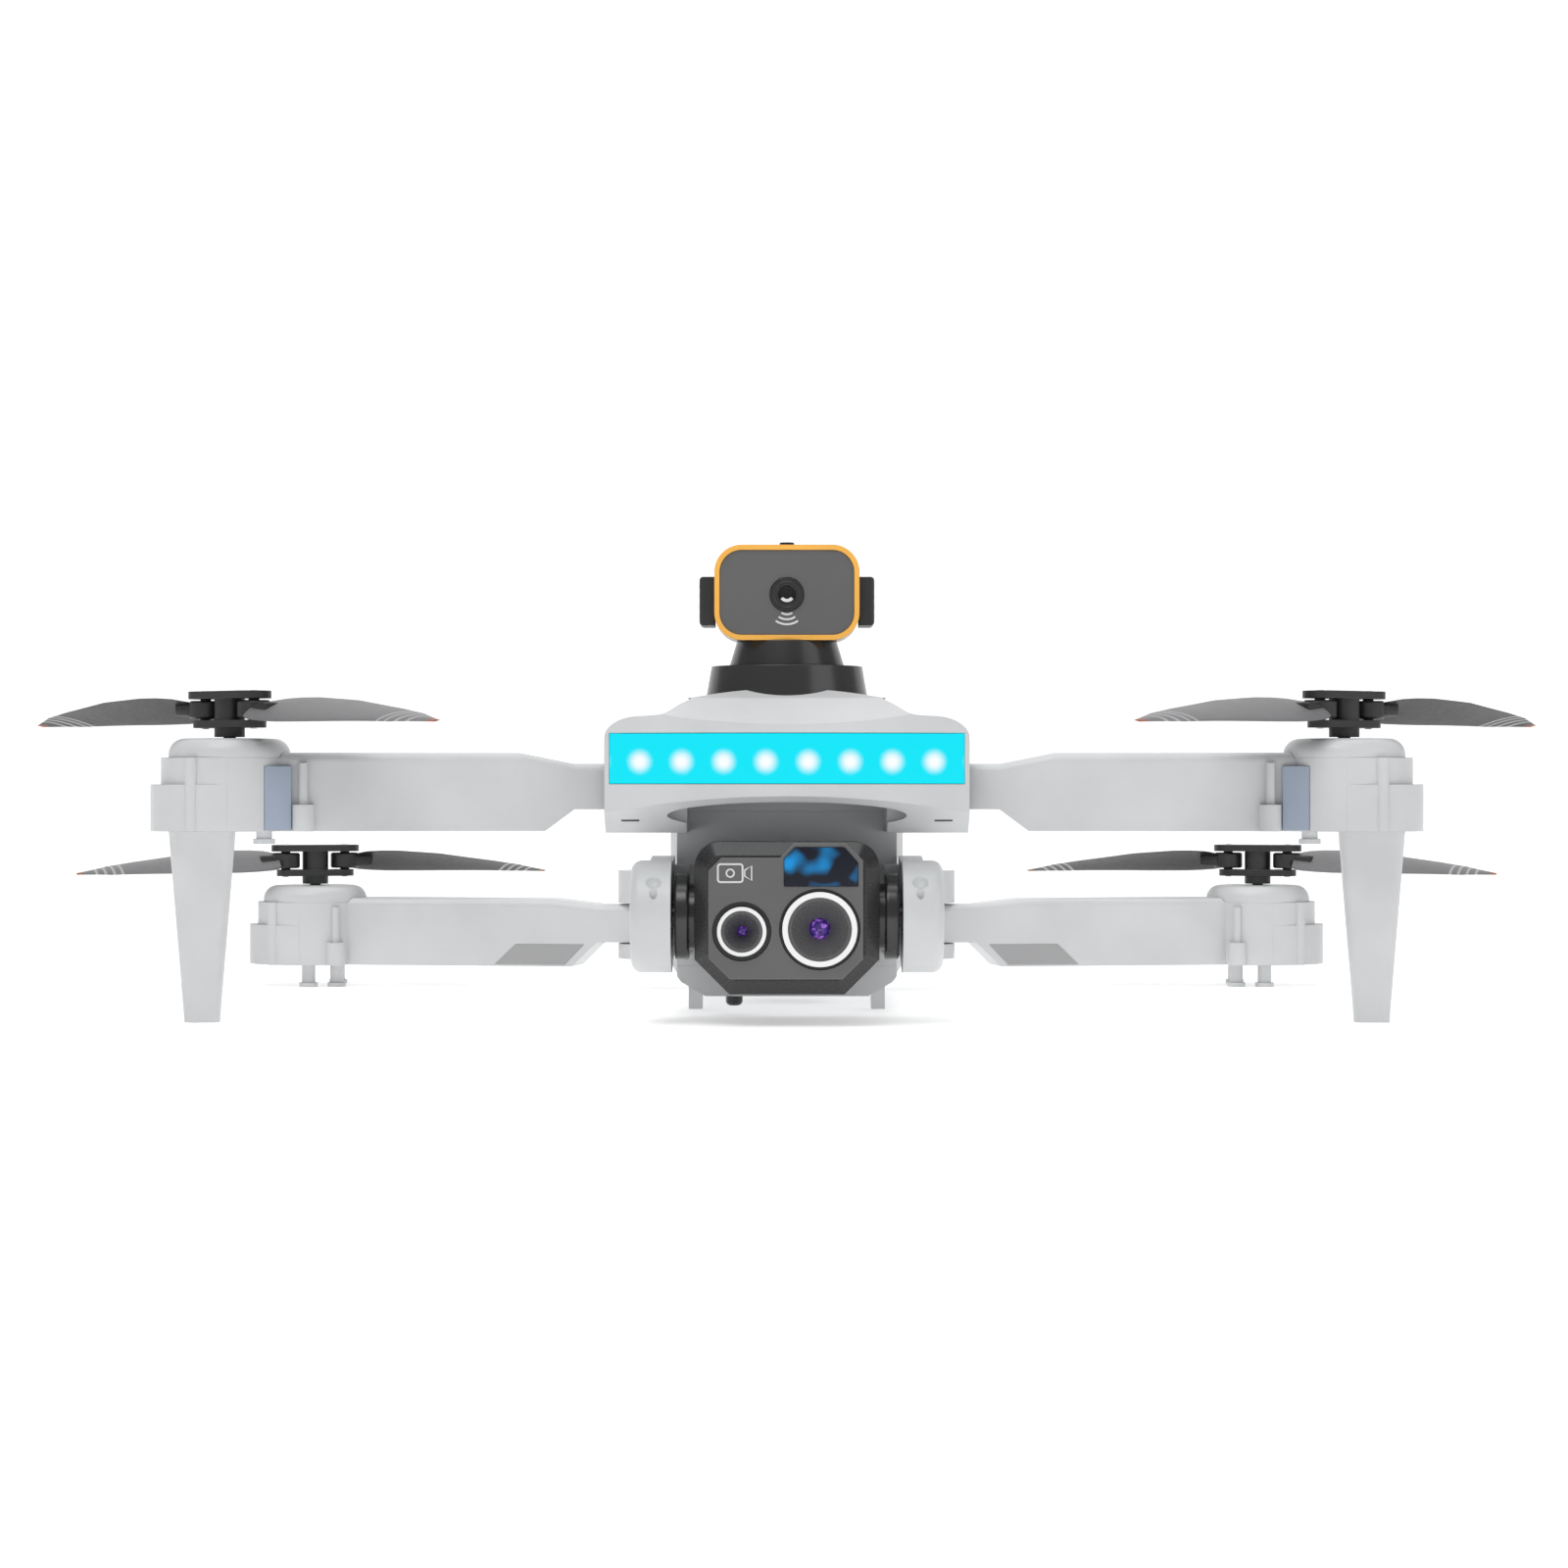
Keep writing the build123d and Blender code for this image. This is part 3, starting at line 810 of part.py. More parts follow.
def prop_blade(hand):
    gap_high = HUB_HEIGHT - HUB_PLATE
    middle = gap_high - BLADE_GAP / 2
    half_eye = BLADE_GAP / 2 - BLADE_SIDE_GAP
    sections = []
    for reach, chord, pitch, thickness, offset_y, droop in BLADE_SECTIONS:
        plane = Plane(origin=(reach, hand * offset_y, middle - droop), x_dir=(0, 1, 0), z_dir=(1, 0, 0))
        sections.append(plane * Ellipse(chord / 2, thickness / 2, rotation=hand * pitch))
    blade = loft(sections)
    blade += post(BLADE_EYE_RADIUS, middle - half_eye, middle + half_eye, BLADE_PIN_OFFSET)
    blade += block(BLADE_PIN_OFFSET, BLADE_SECTIONS[0][0] + 1.5, -3.2, 3.2, middle - 1.2, middle + 1.2)
    return blade - post(BLADE_PIN_RADIUS + RUN_GAP, middle - 5.0, middle + 5.0, BLADE_PIN_OFFSET)


def propellers(end, spot, angle, hand):
    centre = spot.position
    place = Pos(centre.X, centre.Y, centre.Z) * Rot(0, 0, angle)
    add_pair(end + "_prop_hub", place * prop_hub())
    add_pair(end + "_blade_outer", place * prop_blade(hand))
    add_pair(end + "_blade_inner", place * Rot(0, 0, 180) * prop_blade(hand))


pieces["top_shell"] = top_shell()
light_bar()
pieces["lower_fuselage"] = lower_fuselage()
pieces["belly_cover"] = belly_cover()
pieces["shell_screws"] = shell_screws()
pieces["arm_pivot_pins"] = arm_pivot_pins()
pieces["belly_sensor"] = belly_sensor()
pieces["main_board"] = main_board()
battery()
pieces["power_button"] = power_button()
pieces["camera_cheeks"] = camera_cheeks()
camera()
head()
propellers("front", front_arms(), FRONT_PROP_ANGLE, -1)
propellers("rear", rear_arms(), REAR_PROP_ANGLE, 1)

# the origin is under the middle of the whole model, on the ground
low_y = min(shape.bounding_box().min.Y for shape in pieces.values())
high_y = max(shape.bounding_box().max.Y for shape in pieces.values())
CENTRE_SHIFT_Y = -(low_y + high_y) / 2

os.makedirs("parts", exist_ok=True)
for name, shape in pieces.items():
    export_step(Pos(0, CENTRE_SHIFT_Y, 0) * shape, "parts/" + name + ".step")
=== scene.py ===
import json
import math
import bmesh
import bpy
from mathutils import Matrix, Vector


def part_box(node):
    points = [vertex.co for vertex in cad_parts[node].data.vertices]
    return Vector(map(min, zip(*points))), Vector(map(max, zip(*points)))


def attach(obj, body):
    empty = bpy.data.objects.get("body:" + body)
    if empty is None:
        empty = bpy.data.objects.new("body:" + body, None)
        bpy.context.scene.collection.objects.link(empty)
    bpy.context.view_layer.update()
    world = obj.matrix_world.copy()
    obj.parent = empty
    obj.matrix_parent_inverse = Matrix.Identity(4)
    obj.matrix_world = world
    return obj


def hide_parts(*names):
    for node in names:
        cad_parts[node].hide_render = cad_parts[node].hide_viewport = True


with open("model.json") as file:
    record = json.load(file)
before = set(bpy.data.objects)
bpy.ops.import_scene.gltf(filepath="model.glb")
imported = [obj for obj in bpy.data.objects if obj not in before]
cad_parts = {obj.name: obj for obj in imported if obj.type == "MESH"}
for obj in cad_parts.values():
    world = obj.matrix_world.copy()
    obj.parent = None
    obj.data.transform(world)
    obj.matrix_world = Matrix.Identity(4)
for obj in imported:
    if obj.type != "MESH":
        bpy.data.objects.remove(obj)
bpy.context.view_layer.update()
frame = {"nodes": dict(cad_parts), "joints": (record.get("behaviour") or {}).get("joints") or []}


# ---------------------------------------------------------------- camera
# A level camera square on to the nose, a little below the top of the body. It stands far enough off for
# all four propellers to fit. Lengths here are in metres.
LENS_LENGTH_MM = 82.3
VIEW_SIDE = -0.0007
VIEW_AWAY = 0.862
VIEW_HEIGHT = 0.0571


def centre(node):
    low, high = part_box(node)
    return (low + high) / 2


camera_data = bpy.data.cameras.new("camera")
camera_data.lens = LENS_LENGTH_MM
camera_data.clip_start = 0.05
camera_data.clip_end = 20.0
camera = bpy.data.objects.new("camera", camera_data)
bpy.context.scene.collection.objects.link(camera)
camera.location = (VIEW_SIDE, centre("front_motor_left").y - VIEW_AWAY, VIEW_HEIGHT)
camera.rotation_euler = (math.radians(90), 0, 0)
bpy.context.scene.camera = camera
bpy.context.scene.view_settings.view_transform = "Standard"


# ---------------------------------------------------------------- body shells
# Top shell, lower fuselage, belly cover and camera cheeks: injection moulded light grey ABS with a fine
# spark-eroded grain, edges painted lighter for handling wear and as a painted highlight, screwed together
# from underneath.
MM = 0.001
GREY = (0.61, 0.62, 0.63)
BODY_ROUGHNESS = 0.36
CLOUD_SCALE = 38.0
# band along the edges that is painted lighter: wear and a painted highlight
WEAR_AND_HIGHLIGHT_FROM, WEAR_AND_HIGHLIGHT_FULL = 0.995, 0.80
ROUGHNESS_SPREAD = 0.08


def new_material(name):
    material = bpy.data.materials.new(name)
    material.use_nodes = True
    return material, material.node_tree.nodes, material.node_tree.links


def ramp_between(tree, links, factor, low, high, start=0.0, stop=1.0):
    ramp = tree.new("ShaderNodeValToRGB")
    ramp.color_ramp.elements[0].position = start
    ramp.color_ramp.elements[1].position = stop
    ramp.color_ramp.elements[0].color = (*low, 1)
    ramp.color_ramp.elements[1].color = (*high, 1)
    links.new(factor, ramp.inputs["Fac"])
    return ramp


def moulded(name, colour, rough=0.42, grain_mm=0.45, grain_depth_mm=0.010, wear_and_highlight=0.10, mottle=0.05,
            metallic=0.0, edge_mm=0.35):
    """A moulded or machined surface: fine grain, cloudy tone, edges painted lighter for wear and as a
    painted highlight, and rounded corners.
    """
    material, tree, links = new_material(name)
    shader = tree["Principled BSDF"]
    shader.inputs["Metallic"].default_value = metallic
    place = tree.new("ShaderNodeTexCoord")
    cloud = tree.new("ShaderNodeTexNoise")
    cloud.inputs["Scale"].default_value = CLOUD_SCALE
    cloud.inputs["Detail"].default_value = 6.0
    grain = tree.new("ShaderNodeTexNoise")
    grain.inputs["Scale"].default_value = 1.0 / (grain_mm * MM)
    grain.inputs["Detail"].default_value = 3.0
    links.new(place.outputs["Object"], cloud.inputs["Vector"])
    links.new(place.outputs["Object"], grain.inputs["Vector"])
    darker = tuple(c * (1 - mottle) for c in colour)
    lighter = tuple(min(1.0, c * (1 + mottle)) for c in colour)
    tone = ramp_between(tree, links, cloud.outputs["Fac"], darker, lighter, 0.35, 0.68)
    # edges painted lighter, for wear and as a painted highlight: where the rounded normal leaves the flat
    # one
    rounded = tree.new("ShaderNodeBevel")
    rounded.samples = 4
    rounded.inputs["Radius"].default_value = edge_mm * MM
    flat = tree.new("ShaderNodeNewGeometry")
    turn = tree.new("ShaderNodeVectorMath")
    turn.operation = "DOT_PRODUCT"
    links.new(rounded.outputs["Normal"], turn.inputs[0])
    links.new(flat.outputs["Normal"], turn.inputs[1])
    edge = tree.new("ShaderNodeMapRange")
    edge.inputs["From Min"].default_value = WEAR_AND_HIGHLIGHT_FROM
    edge.inputs["From Max"].default_value = WEAR_AND_HIGHLIGHT_FULL
    links.new(turn.outputs["Value"], edge.inputs["Value"])
    broken = tree.new("ShaderNodeMath")
    broken.operation = "MULTIPLY"
    links.new(edge.outputs["Result"], broken.inputs[0])
    links.new(cloud.outputs["Fac"], broken.inputs[1])
    wear_and_highlight_mix = tree.new("ShaderNodeMix")
    wear_and_highlight_mix.data_type = "RGBA"
    links.new(broken.outputs["Value"], wear_and_highlight_mix.inputs["Factor"])
    links.new(tone.outputs["Color"], wear_and_highlight_mix.inputs["A"])
    wear_and_highlight_mix.inputs["B"].default_value = (*[min(1.0, c + wear_and_highlight) for c in colour], 1)
    links.new(wear_and_highlight_mix.outputs["Result"], shader.inputs["Base Color"])
    sheen = tree.new("ShaderNodeMapRange")
    sheen.inputs["To Min"].default_value = rough - ROUGHNESS_SPREAD
    sheen.inputs["To Max"].default_value = rough + ROUGHNESS_SPREAD
    links.new(grain.outputs["Fac"], sheen.inputs["Value"])
    links.new(sheen.outputs["Result"], shader.inputs["Roughness"])
    bump = tree.new("ShaderNodeBump")
    bump.inputs["Strength"].default_value = 0.5
    bump.inputs["Distance"].default_value = grain_depth_mm * MM
    links.new(grain.outputs["Fac"], bump.inputs["Height"])
    links.new(rounded.outputs["Normal"], bump.inputs["Normal"])
    links.new(bump.outputs["Normal"], shader.inputs["Normal"])
    return material


def dress(material, *names):
    for name in names:
        slots = frame["nodes"][name].data.materials
        slots.clear()
        slots.append(material)


body_grey = moulded("body_grey_abs", GREY, rough=BODY_ROUGHNESS)
dress(body_grey, "top_shell", "lower_fuselage", "belly_cover", "camera_cheeks")


# ---------------------------------------------------------------- air slots
# Narrow slots that let cooling air through the shells under the nose, in both flanks and in the belly.
# They are moulded with the shell; each is shown filled by a thin black block, painted shade for the dark
# inside the slot.
NOSE_SLOT_SIZE = (4.4, 0.7, 0.5)
NOSE_SLOT_EDGE = 0.2
NOSE_SLOT_OUT, NOSE_SLOT_BACK, NOSE_SLOT_UP = 37.4, 8.65, 3.1
NOSE_RISE, NOSE_RUN = 9.5, 14.0
NOSE_SLOPE = math.degrees(math.atan2(NOSE_RISE, NOSE_RUN))
SLOT_EDGE = 0.24
FLANK_SLOT_SIZE = (0.5, 1.3, 11.0)
FLANK_SLOT_OUT, FLANK_SLOT_UP = 29.0, 36.0
FLANK_SLOTS, FLANK_SLOT_PITCH = 7, 4.2
FLANK_SLOT_LEAN = -18
BELLY_SLOT_SIZE = (18.0, 1.4, 0.5)
BELLY_SLOT_UP = 5.0
BELLY_SLOTS, BELLY_SLOT_PITCH = 5, 4.0
FIRST_SLOT_BACK = 4.0


def make_piece(name, mesh, material, body, smooth=True):
    data = bpy.data.meshes.new(name)
    bmesh.ops.recalc_face_normals(mesh, faces=mesh.faces)
    mesh.to_mesh(data)
    mesh.free()
    data.materials.append(material)
    if smooth:
        data.shade_smooth()
        data.set_sharp_from_angle(angle=math.radians(35))
    piece = bpy.data.objects.new(name, data)
    bpy.context.scene.collection.objects.link(piece)
    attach(piece, body)
    return piece


def rounded_block(size_mm, radius_mm):
    """A block about the origin with all its edges rounded."""
    mesh = bmesh.new()
    bmesh.ops.create_cube(mesh, size=1.0)
    bmesh.ops.scale(mesh, verts=mesh.verts, vec=Vector(size_mm) * MM)
    bmesh.ops.bevel(mesh, geom=mesh.edges, offset=radius_mm * MM, segments=3, profile=0.5,
                    affect="EDGES")
    return mesh


def put(mesh, place, tilt=(0.0, 0.0, 0.0)):
    turn = Matrix.Translation(place)
    for angle, axis in zip(tilt, "XYZ"):
        turn = turn @ Matrix.Rotation(math.radians(angle), 4, axis)
    bmesh.ops.transform(mesh, matrix=turn, verts=mesh.verts)
    return mesh


# black fill for the slots: painted shade standing for the dark inside them
shadow_black = moulded("vent_painted_shade", (0.012, 0.012, 0.013), rough=0.6)
shell_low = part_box("top_shell")[0]
for side in (-1, 1):
    slot_place = (side * NOSE_SLOT_OUT * MM, shell_low.y + NOSE_SLOT_BACK * MM,
                  shell_low.z + NOSE_SLOT_UP * MM)
    mesh = put(rounded_block(NOSE_SLOT_SIZE, NOSE_SLOT_EDGE), slot_place, (-NOSE_SLOPE, 0, 0))
    make_piece(f"nose_vent_{side}", mesh, shadow_black, "root")
    for index in range(FLANK_SLOTS):
        back = FIRST_SLOT_BACK + FLANK_SLOT_PITCH * index
        slot_place = (side * FLANK_SLOT_OUT * MM, back * MM, FLANK_SLOT_UP * MM)
        mesh = put(rounded_block(FLANK_SLOT_SIZE, SLOT_EDGE), slot_place, (FLANK_SLOT_LEAN, 0, 0))
        make_piece(f"flank_vent_{side}_{index}", mesh, shadow_black, "root")
for index in range(BELLY_SLOTS):
    back = FIRST_SLOT_BACK + BELLY_SLOT_PITCH * index
    mesh = put(rounded_block(BELLY_SLOT_SIZE, SLOT_EDGE), (0, back * MM, BELLY_SLOT_UP * MM))
    make_piece(f"belly_vent_{index}", mesh, shadow_black, "root")


# ---------------------------------------------------------------- nose light bar
# A clear diffusing lens over eight white lamps soldered to a narrow board. The lens glows cyan, with a
# white core in front of each lamp.
LAMP_PITCH = 10.0 * MM
WHOLE_PITCHES = 8.0
CYAN = (0.0, 0.80, 0.95)
CORE_EDGE, GLOW_EDGE = 0.07, 0.37
lamp_z = centre("light_bar_lamps").z


def glowing_lens(name):
    material, tree, links = new_material(name)
    shader = tree["Principled BSDF"]
    shader.inputs["Roughness"].default_value = 0.18
    place = tree.new("ShaderNodeTexCoord")
    split = tree.new("ShaderNodeSeparateXYZ")
    links.new(place.outputs["Object"], split.inputs["Vector"])

    def maths(operation, first, second=None):
        node = tree.new("ShaderNodeMath")
        node.operation = operation
        for socket, value in zip(node.inputs, (first, second)):
            if isinstance(value, (int, float)):
                socket.default_value = value
            elif value is not None:
                links.new(value, socket)
        return node.outputs["Value"]

    pitches = maths("ADD", maths("DIVIDE", split.outputs["X"], LAMP_PITCH), WHOLE_PITCHES)
    along = maths("SUBTRACT", maths("FRACT", pitches), 0.5)
    up = maths("DIVIDE", maths("SUBTRACT", split.outputs["Z"], lamp_z), LAMP_PITCH)
    away = maths("SQRT", maths("ADD", maths("POWER", maths("ABSOLUTE", along), 2.0),
                               maths("POWER", maths("ABSOLUTE", up), 2.0)))
    grain = tree.new("ShaderNodeTexNoise")
    grain.inputs["Scale"].default_value = 900.0
    links.new(place.outputs["Object"], grain.inputs["Vector"])
    soft = maths("ADD", away, maths("MULTIPLY", grain.outputs["Fac"], 0.03))
    glow = ramp_between(tree, links, soft, (1.0, 1.0, 1.0), CYAN, CORE_EDGE, GLOW_EDGE)
    glow.color_ramp.interpolation = "EASE"
    links.new(glow.outputs["Color"], shader.inputs["Emission Color"])
    shader.inputs["Emission Strength"].default_value = 0.95
    shader.inputs["Specular IOR Level"].default_value = 0.25
    tint = ramp_between(tree, links, grain.outputs["Fac"], (0.0, 0.02, 0.03), (0.0, 0.04, 0.05))
    links.new(tint.outputs["Color"], shader.inputs["Base Color"])
    return material


dress(glowing_lens("cyan_bar_lens"), "light_bar_lens")
lamp_white = moulded("lamp_white", (0.9, 0.95, 0.95), rough=0.3)
dress(lamp_white, "light_bar_lamps")


# ---------------------------------------------------------------- circuit boards
# Glass cloth boards under green solder mask with copper tracks: one behind the light bar, the main board
# in the fuselage and a small one in the camera.
TRACK_SCALE = 260.0
WEAVE_SCALE = 1500.0


def circuit(name):
    material, tree, links = new_material(name)
    shader = tree["Principled BSDF"]
    place = tree.new("ShaderNodeTexCoord")
    tracks = tree.new("ShaderNodeTexBrick")
    tracks.inputs["Scale"].default_value = TRACK_SCALE
    tracks.inputs["Mortar Size"].default_value = 0.06
    tracks.inputs["Color1"].default_value = (0.01, 0.12, 0.04, 1)
    tracks.inputs["Color2"].default_value = (0.01, 0.09, 0.03, 1)
    tracks.inputs["Mortar"].default_value = (0.05, 0.25, 0.08, 1)
    links.new(place.outputs["Object"], tracks.inputs["Vector"])
    links.new(tracks.outputs["Color"], shader.inputs["Base Color"])
    weave = tree.new("ShaderNodeTexNoise")
    weave.inputs["Scale"].default_value = WEAVE_SCALE
    links.new(place.outputs["Object"], weave.inputs["Vector"])
    bump = tree.new("ShaderNodeBump")
    bump.inputs["Distance"].default_value = 0.02 * MM
    links.new(weave.outputs["Fac"], bump.inputs["Height"])
    links.new(bump.outputs["Normal"], shader.inputs["Normal"])
    shader.inputs["Roughness"].default_value = 0.35
    return material


dress(circuit("green_board"), "light_bar_board", "main_board", "camera_board")


# ---------------------------------------------------------------- camera pod
# Black glossy housing in two halves, satin grey face plate, two lenses with bright rings and a dark
# window, hung between the cheeks on two turned axle discs.
camera_black = moulded("camera_black", (0.020, 0.020, 0.021), rough=0.26, grain_mm=0.2,
                       grain_depth_mm=0.0012, wear_and_highlight=0.05, mottle=0.03)
# the face plate's strong edge lightening is mostly a painted highlight: the bright line where the face meets
# the bevel
face_grey = moulded("face_grey", (0.115, 0.115, 0.117), rough=0.38, grain_mm=0.25,
                    grain_depth_mm=0.002, wear_and_highlight=0.30)
ring_silver = moulded("ring_silver", (0.86, 0.86, 0.86), rough=0.22, wear_and_highlight=0.1, edge_mm=0.15)
barrel_grey = moulded("barrel_grey", (0.095, 0.095, 0.097), rough=0.26, grain_depth_mm=0.002,
                      wear_and_highlight=0.10, edge_mm=0.12)
neck_metal = moulded("neck_dark", (0.055, 0.055, 0.056), rough=0.22, wear_and_highlight=0.12, metallic=0.55,
                     grain_mm=0.15, grain_depth_mm=0.0008, mottle=0.02)
dress(camera_black, "camera_shell", "camera_back")
dress(face_grey, "camera_face")
dress(ring_silver, "lens_rings")
dress(barrel_grey, "lens_barrels")
dress(neck_metal, "camera_axles")


def coated_glass(name, deep, bright, spot_mm):
    """Blackened glass with painted reflections: glowing coloured noise spots stand for the reflections on a
    coated lens.
    """
    material, tree, links = new_material(name)
    shader = tree["Principled BSDF"]
    shader.inputs["Roughness"].default_value = 0.05
    shader.inputs["Specular IOR Level"].default_value = 0.22
    shader.inputs["Coat Weight"].default_value = 0.15
    shader.inputs["Coat Roughness"].default_value = 0.02
    place = tree.new("ShaderNodeTexCoord")
    painted_reflection_spots = tree.new("ShaderNodeTexNoise")
    painted_reflection_spots.inputs["Scale"].default_value = 1.0 / (spot_mm * MM)
    painted_reflection_spots.inputs["Detail"].default_value = 1.0
    links.new(place.outputs["Object"], painted_reflection_spots.inputs["Vector"])
    tint = ramp_between(tree, links, painted_reflection_spots.outputs["Fac"], deep, bright, 0.52, 0.76)
    links.new(tint.outputs["Color"], shader.inputs["Base Color"])
    # the spots are painted reflections and glow as well
    links.new(tint.outputs["Color"], shader.inputs["Emission Color"])
    shader.inputs["Emission Strength"].default_value = 0.6
    return material


dress(coated_glass("window_glass", (0.0008, 0.002, 0.008), (0.0, 0.17, 0.42), 6.0), "camera_window")
dress(coated_glass("lens_glass", (0.030, 0.010, 0.12), (0.42, 0.18, 0.75), 1.1), "lens_glasses")


# ---------------------------------------------------------------- camera mark
# A small outline of a video camera, pad printed in white ink on the face plate: a rounded box, a horn
# to its right and a ring for the eye.
PRINT_THICKNESS = 0.12
MARK_X, MARK_Z = -13.3, 36.2
MARK_HALF_WIDTH, MARK_HALF_HEIGHT, MARK_CORNER = 2.3, 1.5, 0.6
HORN_NEAR, HORN_FAR = 3.4, 5.0
HORN_NEAR_HALF, HORN_FAR_HALF = 0.7, 1.7
EYE_RING_RADIUS = 0.9
BOX_LINE, FINE_LINE = 0.45, 0.4


def ribbon(points_mm, width_mm, y, closed=True, thick_mm=PRINT_THICKNESS):
    """A thin raised line through points in the upright plane at y."""
    mesh = bmesh.new()
    rows = []
    count = len(points_mm)
    for index, (x, z) in enumerate(points_mm):
        before = points_mm[(index - 1) % count if closed else max(index - 1, 0)]
        after = points_mm[(index + 1) % count if closed else min(index + 1, count - 1)]
        run = Vector((after[0] - before[0], after[1] - before[1])).normalized()
        normal = Vector((-run.y, run.x)) * width_mm / 2
        row = []
        for side, lift in ((1, 0.0), (1, thick_mm), (-1, thick_mm), (-1, 0.0)):
            across, height = x + side * normal.x, z + side * normal.y
            row.append(mesh.verts.new((across * MM, y - lift * MM, height * MM)))
        rows.append(row)
    for index in range(count if closed else count - 1):
        here, there = rows[index], rows[(index + 1) % count]
        for corner in range(4):
            following = (corner + 1) % 4
            mesh.faces.new((here[corner], here[following], there[following], there[corner]))
    if not closed:
        mesh.faces.new(rows[0])
        mesh.faces.new(list(reversed(rows[-1])))
    return mesh


def arc_points(x, z, radius, start, stop, steps=14):
    angles = [math.radians(start + (stop - start) * step / steps) for step in range(steps + 1)]
    return [(x + radius * math.cos(angle), z + radius * math.sin(angle)) for angle in angles]


# white ink for the printed marks, also used for the painted highlight on the head lens
print_and_glint_white = moulded("print_and_glint_white", (0.72, 0.72, 0.72), rough=0.5, grain_depth_mm=0.002)
face_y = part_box("camera_face")[0].y
box_line = []
for right, up, start in ((1, 1, 0), (-1, 1, 90), (-1, -1, 180), (1, -1, 270)):
    corner_x, corner_z = MARK_X + right * MARK_HALF_WIDTH, MARK_Z + up * MARK_HALF_HEIGHT
    box_line += arc_points(corner_x, corner_z, MARK_CORNER, start, start + 90, 5)
make_piece("face_icon_box", ribbon(box_line, BOX_LINE, face_y), print_and_glint_white, "camera")
horn = [(MARK_X + HORN_NEAR, MARK_Z + HORN_NEAR_HALF), (MARK_X + HORN_FAR, MARK_Z + HORN_FAR_HALF),
        (MARK_X + HORN_FAR, MARK_Z - HORN_FAR_HALF), (MARK_X + HORN_NEAR, MARK_Z - HORN_NEAR_HALF)]
make_piece("face_icon_horn", ribbon(horn, FINE_LINE, face_y), print_and_glint_white, "camera")
eye_line = arc_points(MARK_X, MARK_Z, EYE_RING_RADIUS, 0, 342, 18)
make_piece("face_icon_eye", ribbon(eye_line, FINE_LINE, face_y), print_and_glint_white, "camera")


# ---------------------------------------------------------------- belly sensor
# A small glossy black dome under the fuselage that looks at the ground, pressed into the belly cover.
# Its window and housing are one moulding.
dress(camera_black, "belly_sensor")


# ---------------------------------------------------------------- turning sensor head
# Dark turned collar and neck, black housing, grey face in an orange trim ring, small lens below centre.
# The sides carry ridged sensor blocks; three curved bars under the lens stand for the waves it sends out.
WAVE_CENTRE_Z = 100.3
WAVE_REACHES = (2.3, 3.5, 4.7)
WAVE_LINE = 0.5
LENS_RING_RADIUS, LENS_RING_LINE, LENS_RING_THICKNESS = 3.1, 0.35, 0.1
GLINT_RADIUS, GLINT_LINE, GLINT_THICKNESS = 1.5, 0.8, 0.05
SENSOR_RIDGE_SIZE = (0.5, 11.0, 1.2)
RIDGE_SUNK = 0.2
RIDGES, RIDGE_FIRST, RIDGE_PITCH = 4, 2.3, 2.4

orange_trim = moulded("orange_trim", (0.91, 0.46, 0.075), rough=0.32, wear_and_highlight=0.05)
black_abs = moulded("black_abs", (0.022, 0.022, 0.023), rough=0.42, wear_and_highlight=0.06)
dress(neck_metal, "neck_collar", "head_neck")
dress(camera_black, "head_shell", "head_lens")
dress(face_grey, "head_face")
dress(orange_trim, "head_trim")
dress(black_abs, "head_side_sensors")
head_face_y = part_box("head_face")[0].y
for index, reach in enumerate(WAVE_REACHES):
    wave_line = arc_points(0.0, WAVE_CENTRE_Z, reach, 235, 305)
    bar = ribbon(wave_line, WAVE_LINE, head_face_y, closed=False)
    make_piece(f"head_wave_{index}", bar, print_and_glint_white, "head")
lens_low, lens_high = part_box("head_lens")
lens_z = (lens_low.z + lens_high.z) / 2 / MM
ring_line = arc_points(0.0, lens_z, LENS_RING_RADIUS, 0, 345, 24)
ring = ribbon(ring_line, LENS_RING_LINE, lens_low.y, thick_mm=LENS_RING_THICKNESS)
make_piece("head_lens_ring", ring, neck_metal, "head")
# a white arc on the lens: painted highlight, the lamps' reflection in the lens, not print
glint_line = arc_points(0.0, lens_z, GLINT_RADIUS, 215, 325)
glint = ribbon(glint_line, GLINT_LINE, lens_low.y, closed=False, thick_mm=GLINT_THICKNESS)
make_piece("head_lens_glint", glint, print_and_glint_white, "head")
sensor_low, sensor_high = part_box("head_side_sensors")
for side, edge in ((-1, sensor_low.x), (1, sensor_high.x)):
    for index in range(RIDGES):
        up = sensor_low.z + (RIDGE_FIRST + RIDGE_PITCH * index) * MM
        ridge_place = (edge - side * RIDGE_SUNK * MM, centre("head_side_sensors").y, up)
        ridge = put(rounded_block(SENSOR_RIDGE_SIZE, SLOT_EDGE), ridge_place)
        make_piece(f"sensor_ridge_{side}_{index}", ridge, black_abs, "head")


# ---------------------------------------------------------------- battery and power button
# A black ABS case that slides in from the tail with shrink-wrapped cells inside and an orange sprung latch
# on top. Its tail face has grip ridges and four charge lamps. The power button is the same black ABS.
GRIP_RIDGE_SIZE, GRIP_RIDGE_EDGE = (1.0, 0.7, 12.0), 0.3
GRIPS, GRIP_FIRST, GRIP_PITCH, GRIP_SUNK = 4, 13.0, 2.2, 0.25
CHARGE_LAMP_SIZE, CHARGE_LAMP_EDGE = (1.4, 0.4, 1.4), 0.18
CHARGE_LAMPS, CHARGE_FIRST, CHARGE_PITCH, CHARGE_DOWN, CHARGE_SUNK = 4, -4.5, 3.0, 5.0, 0.1

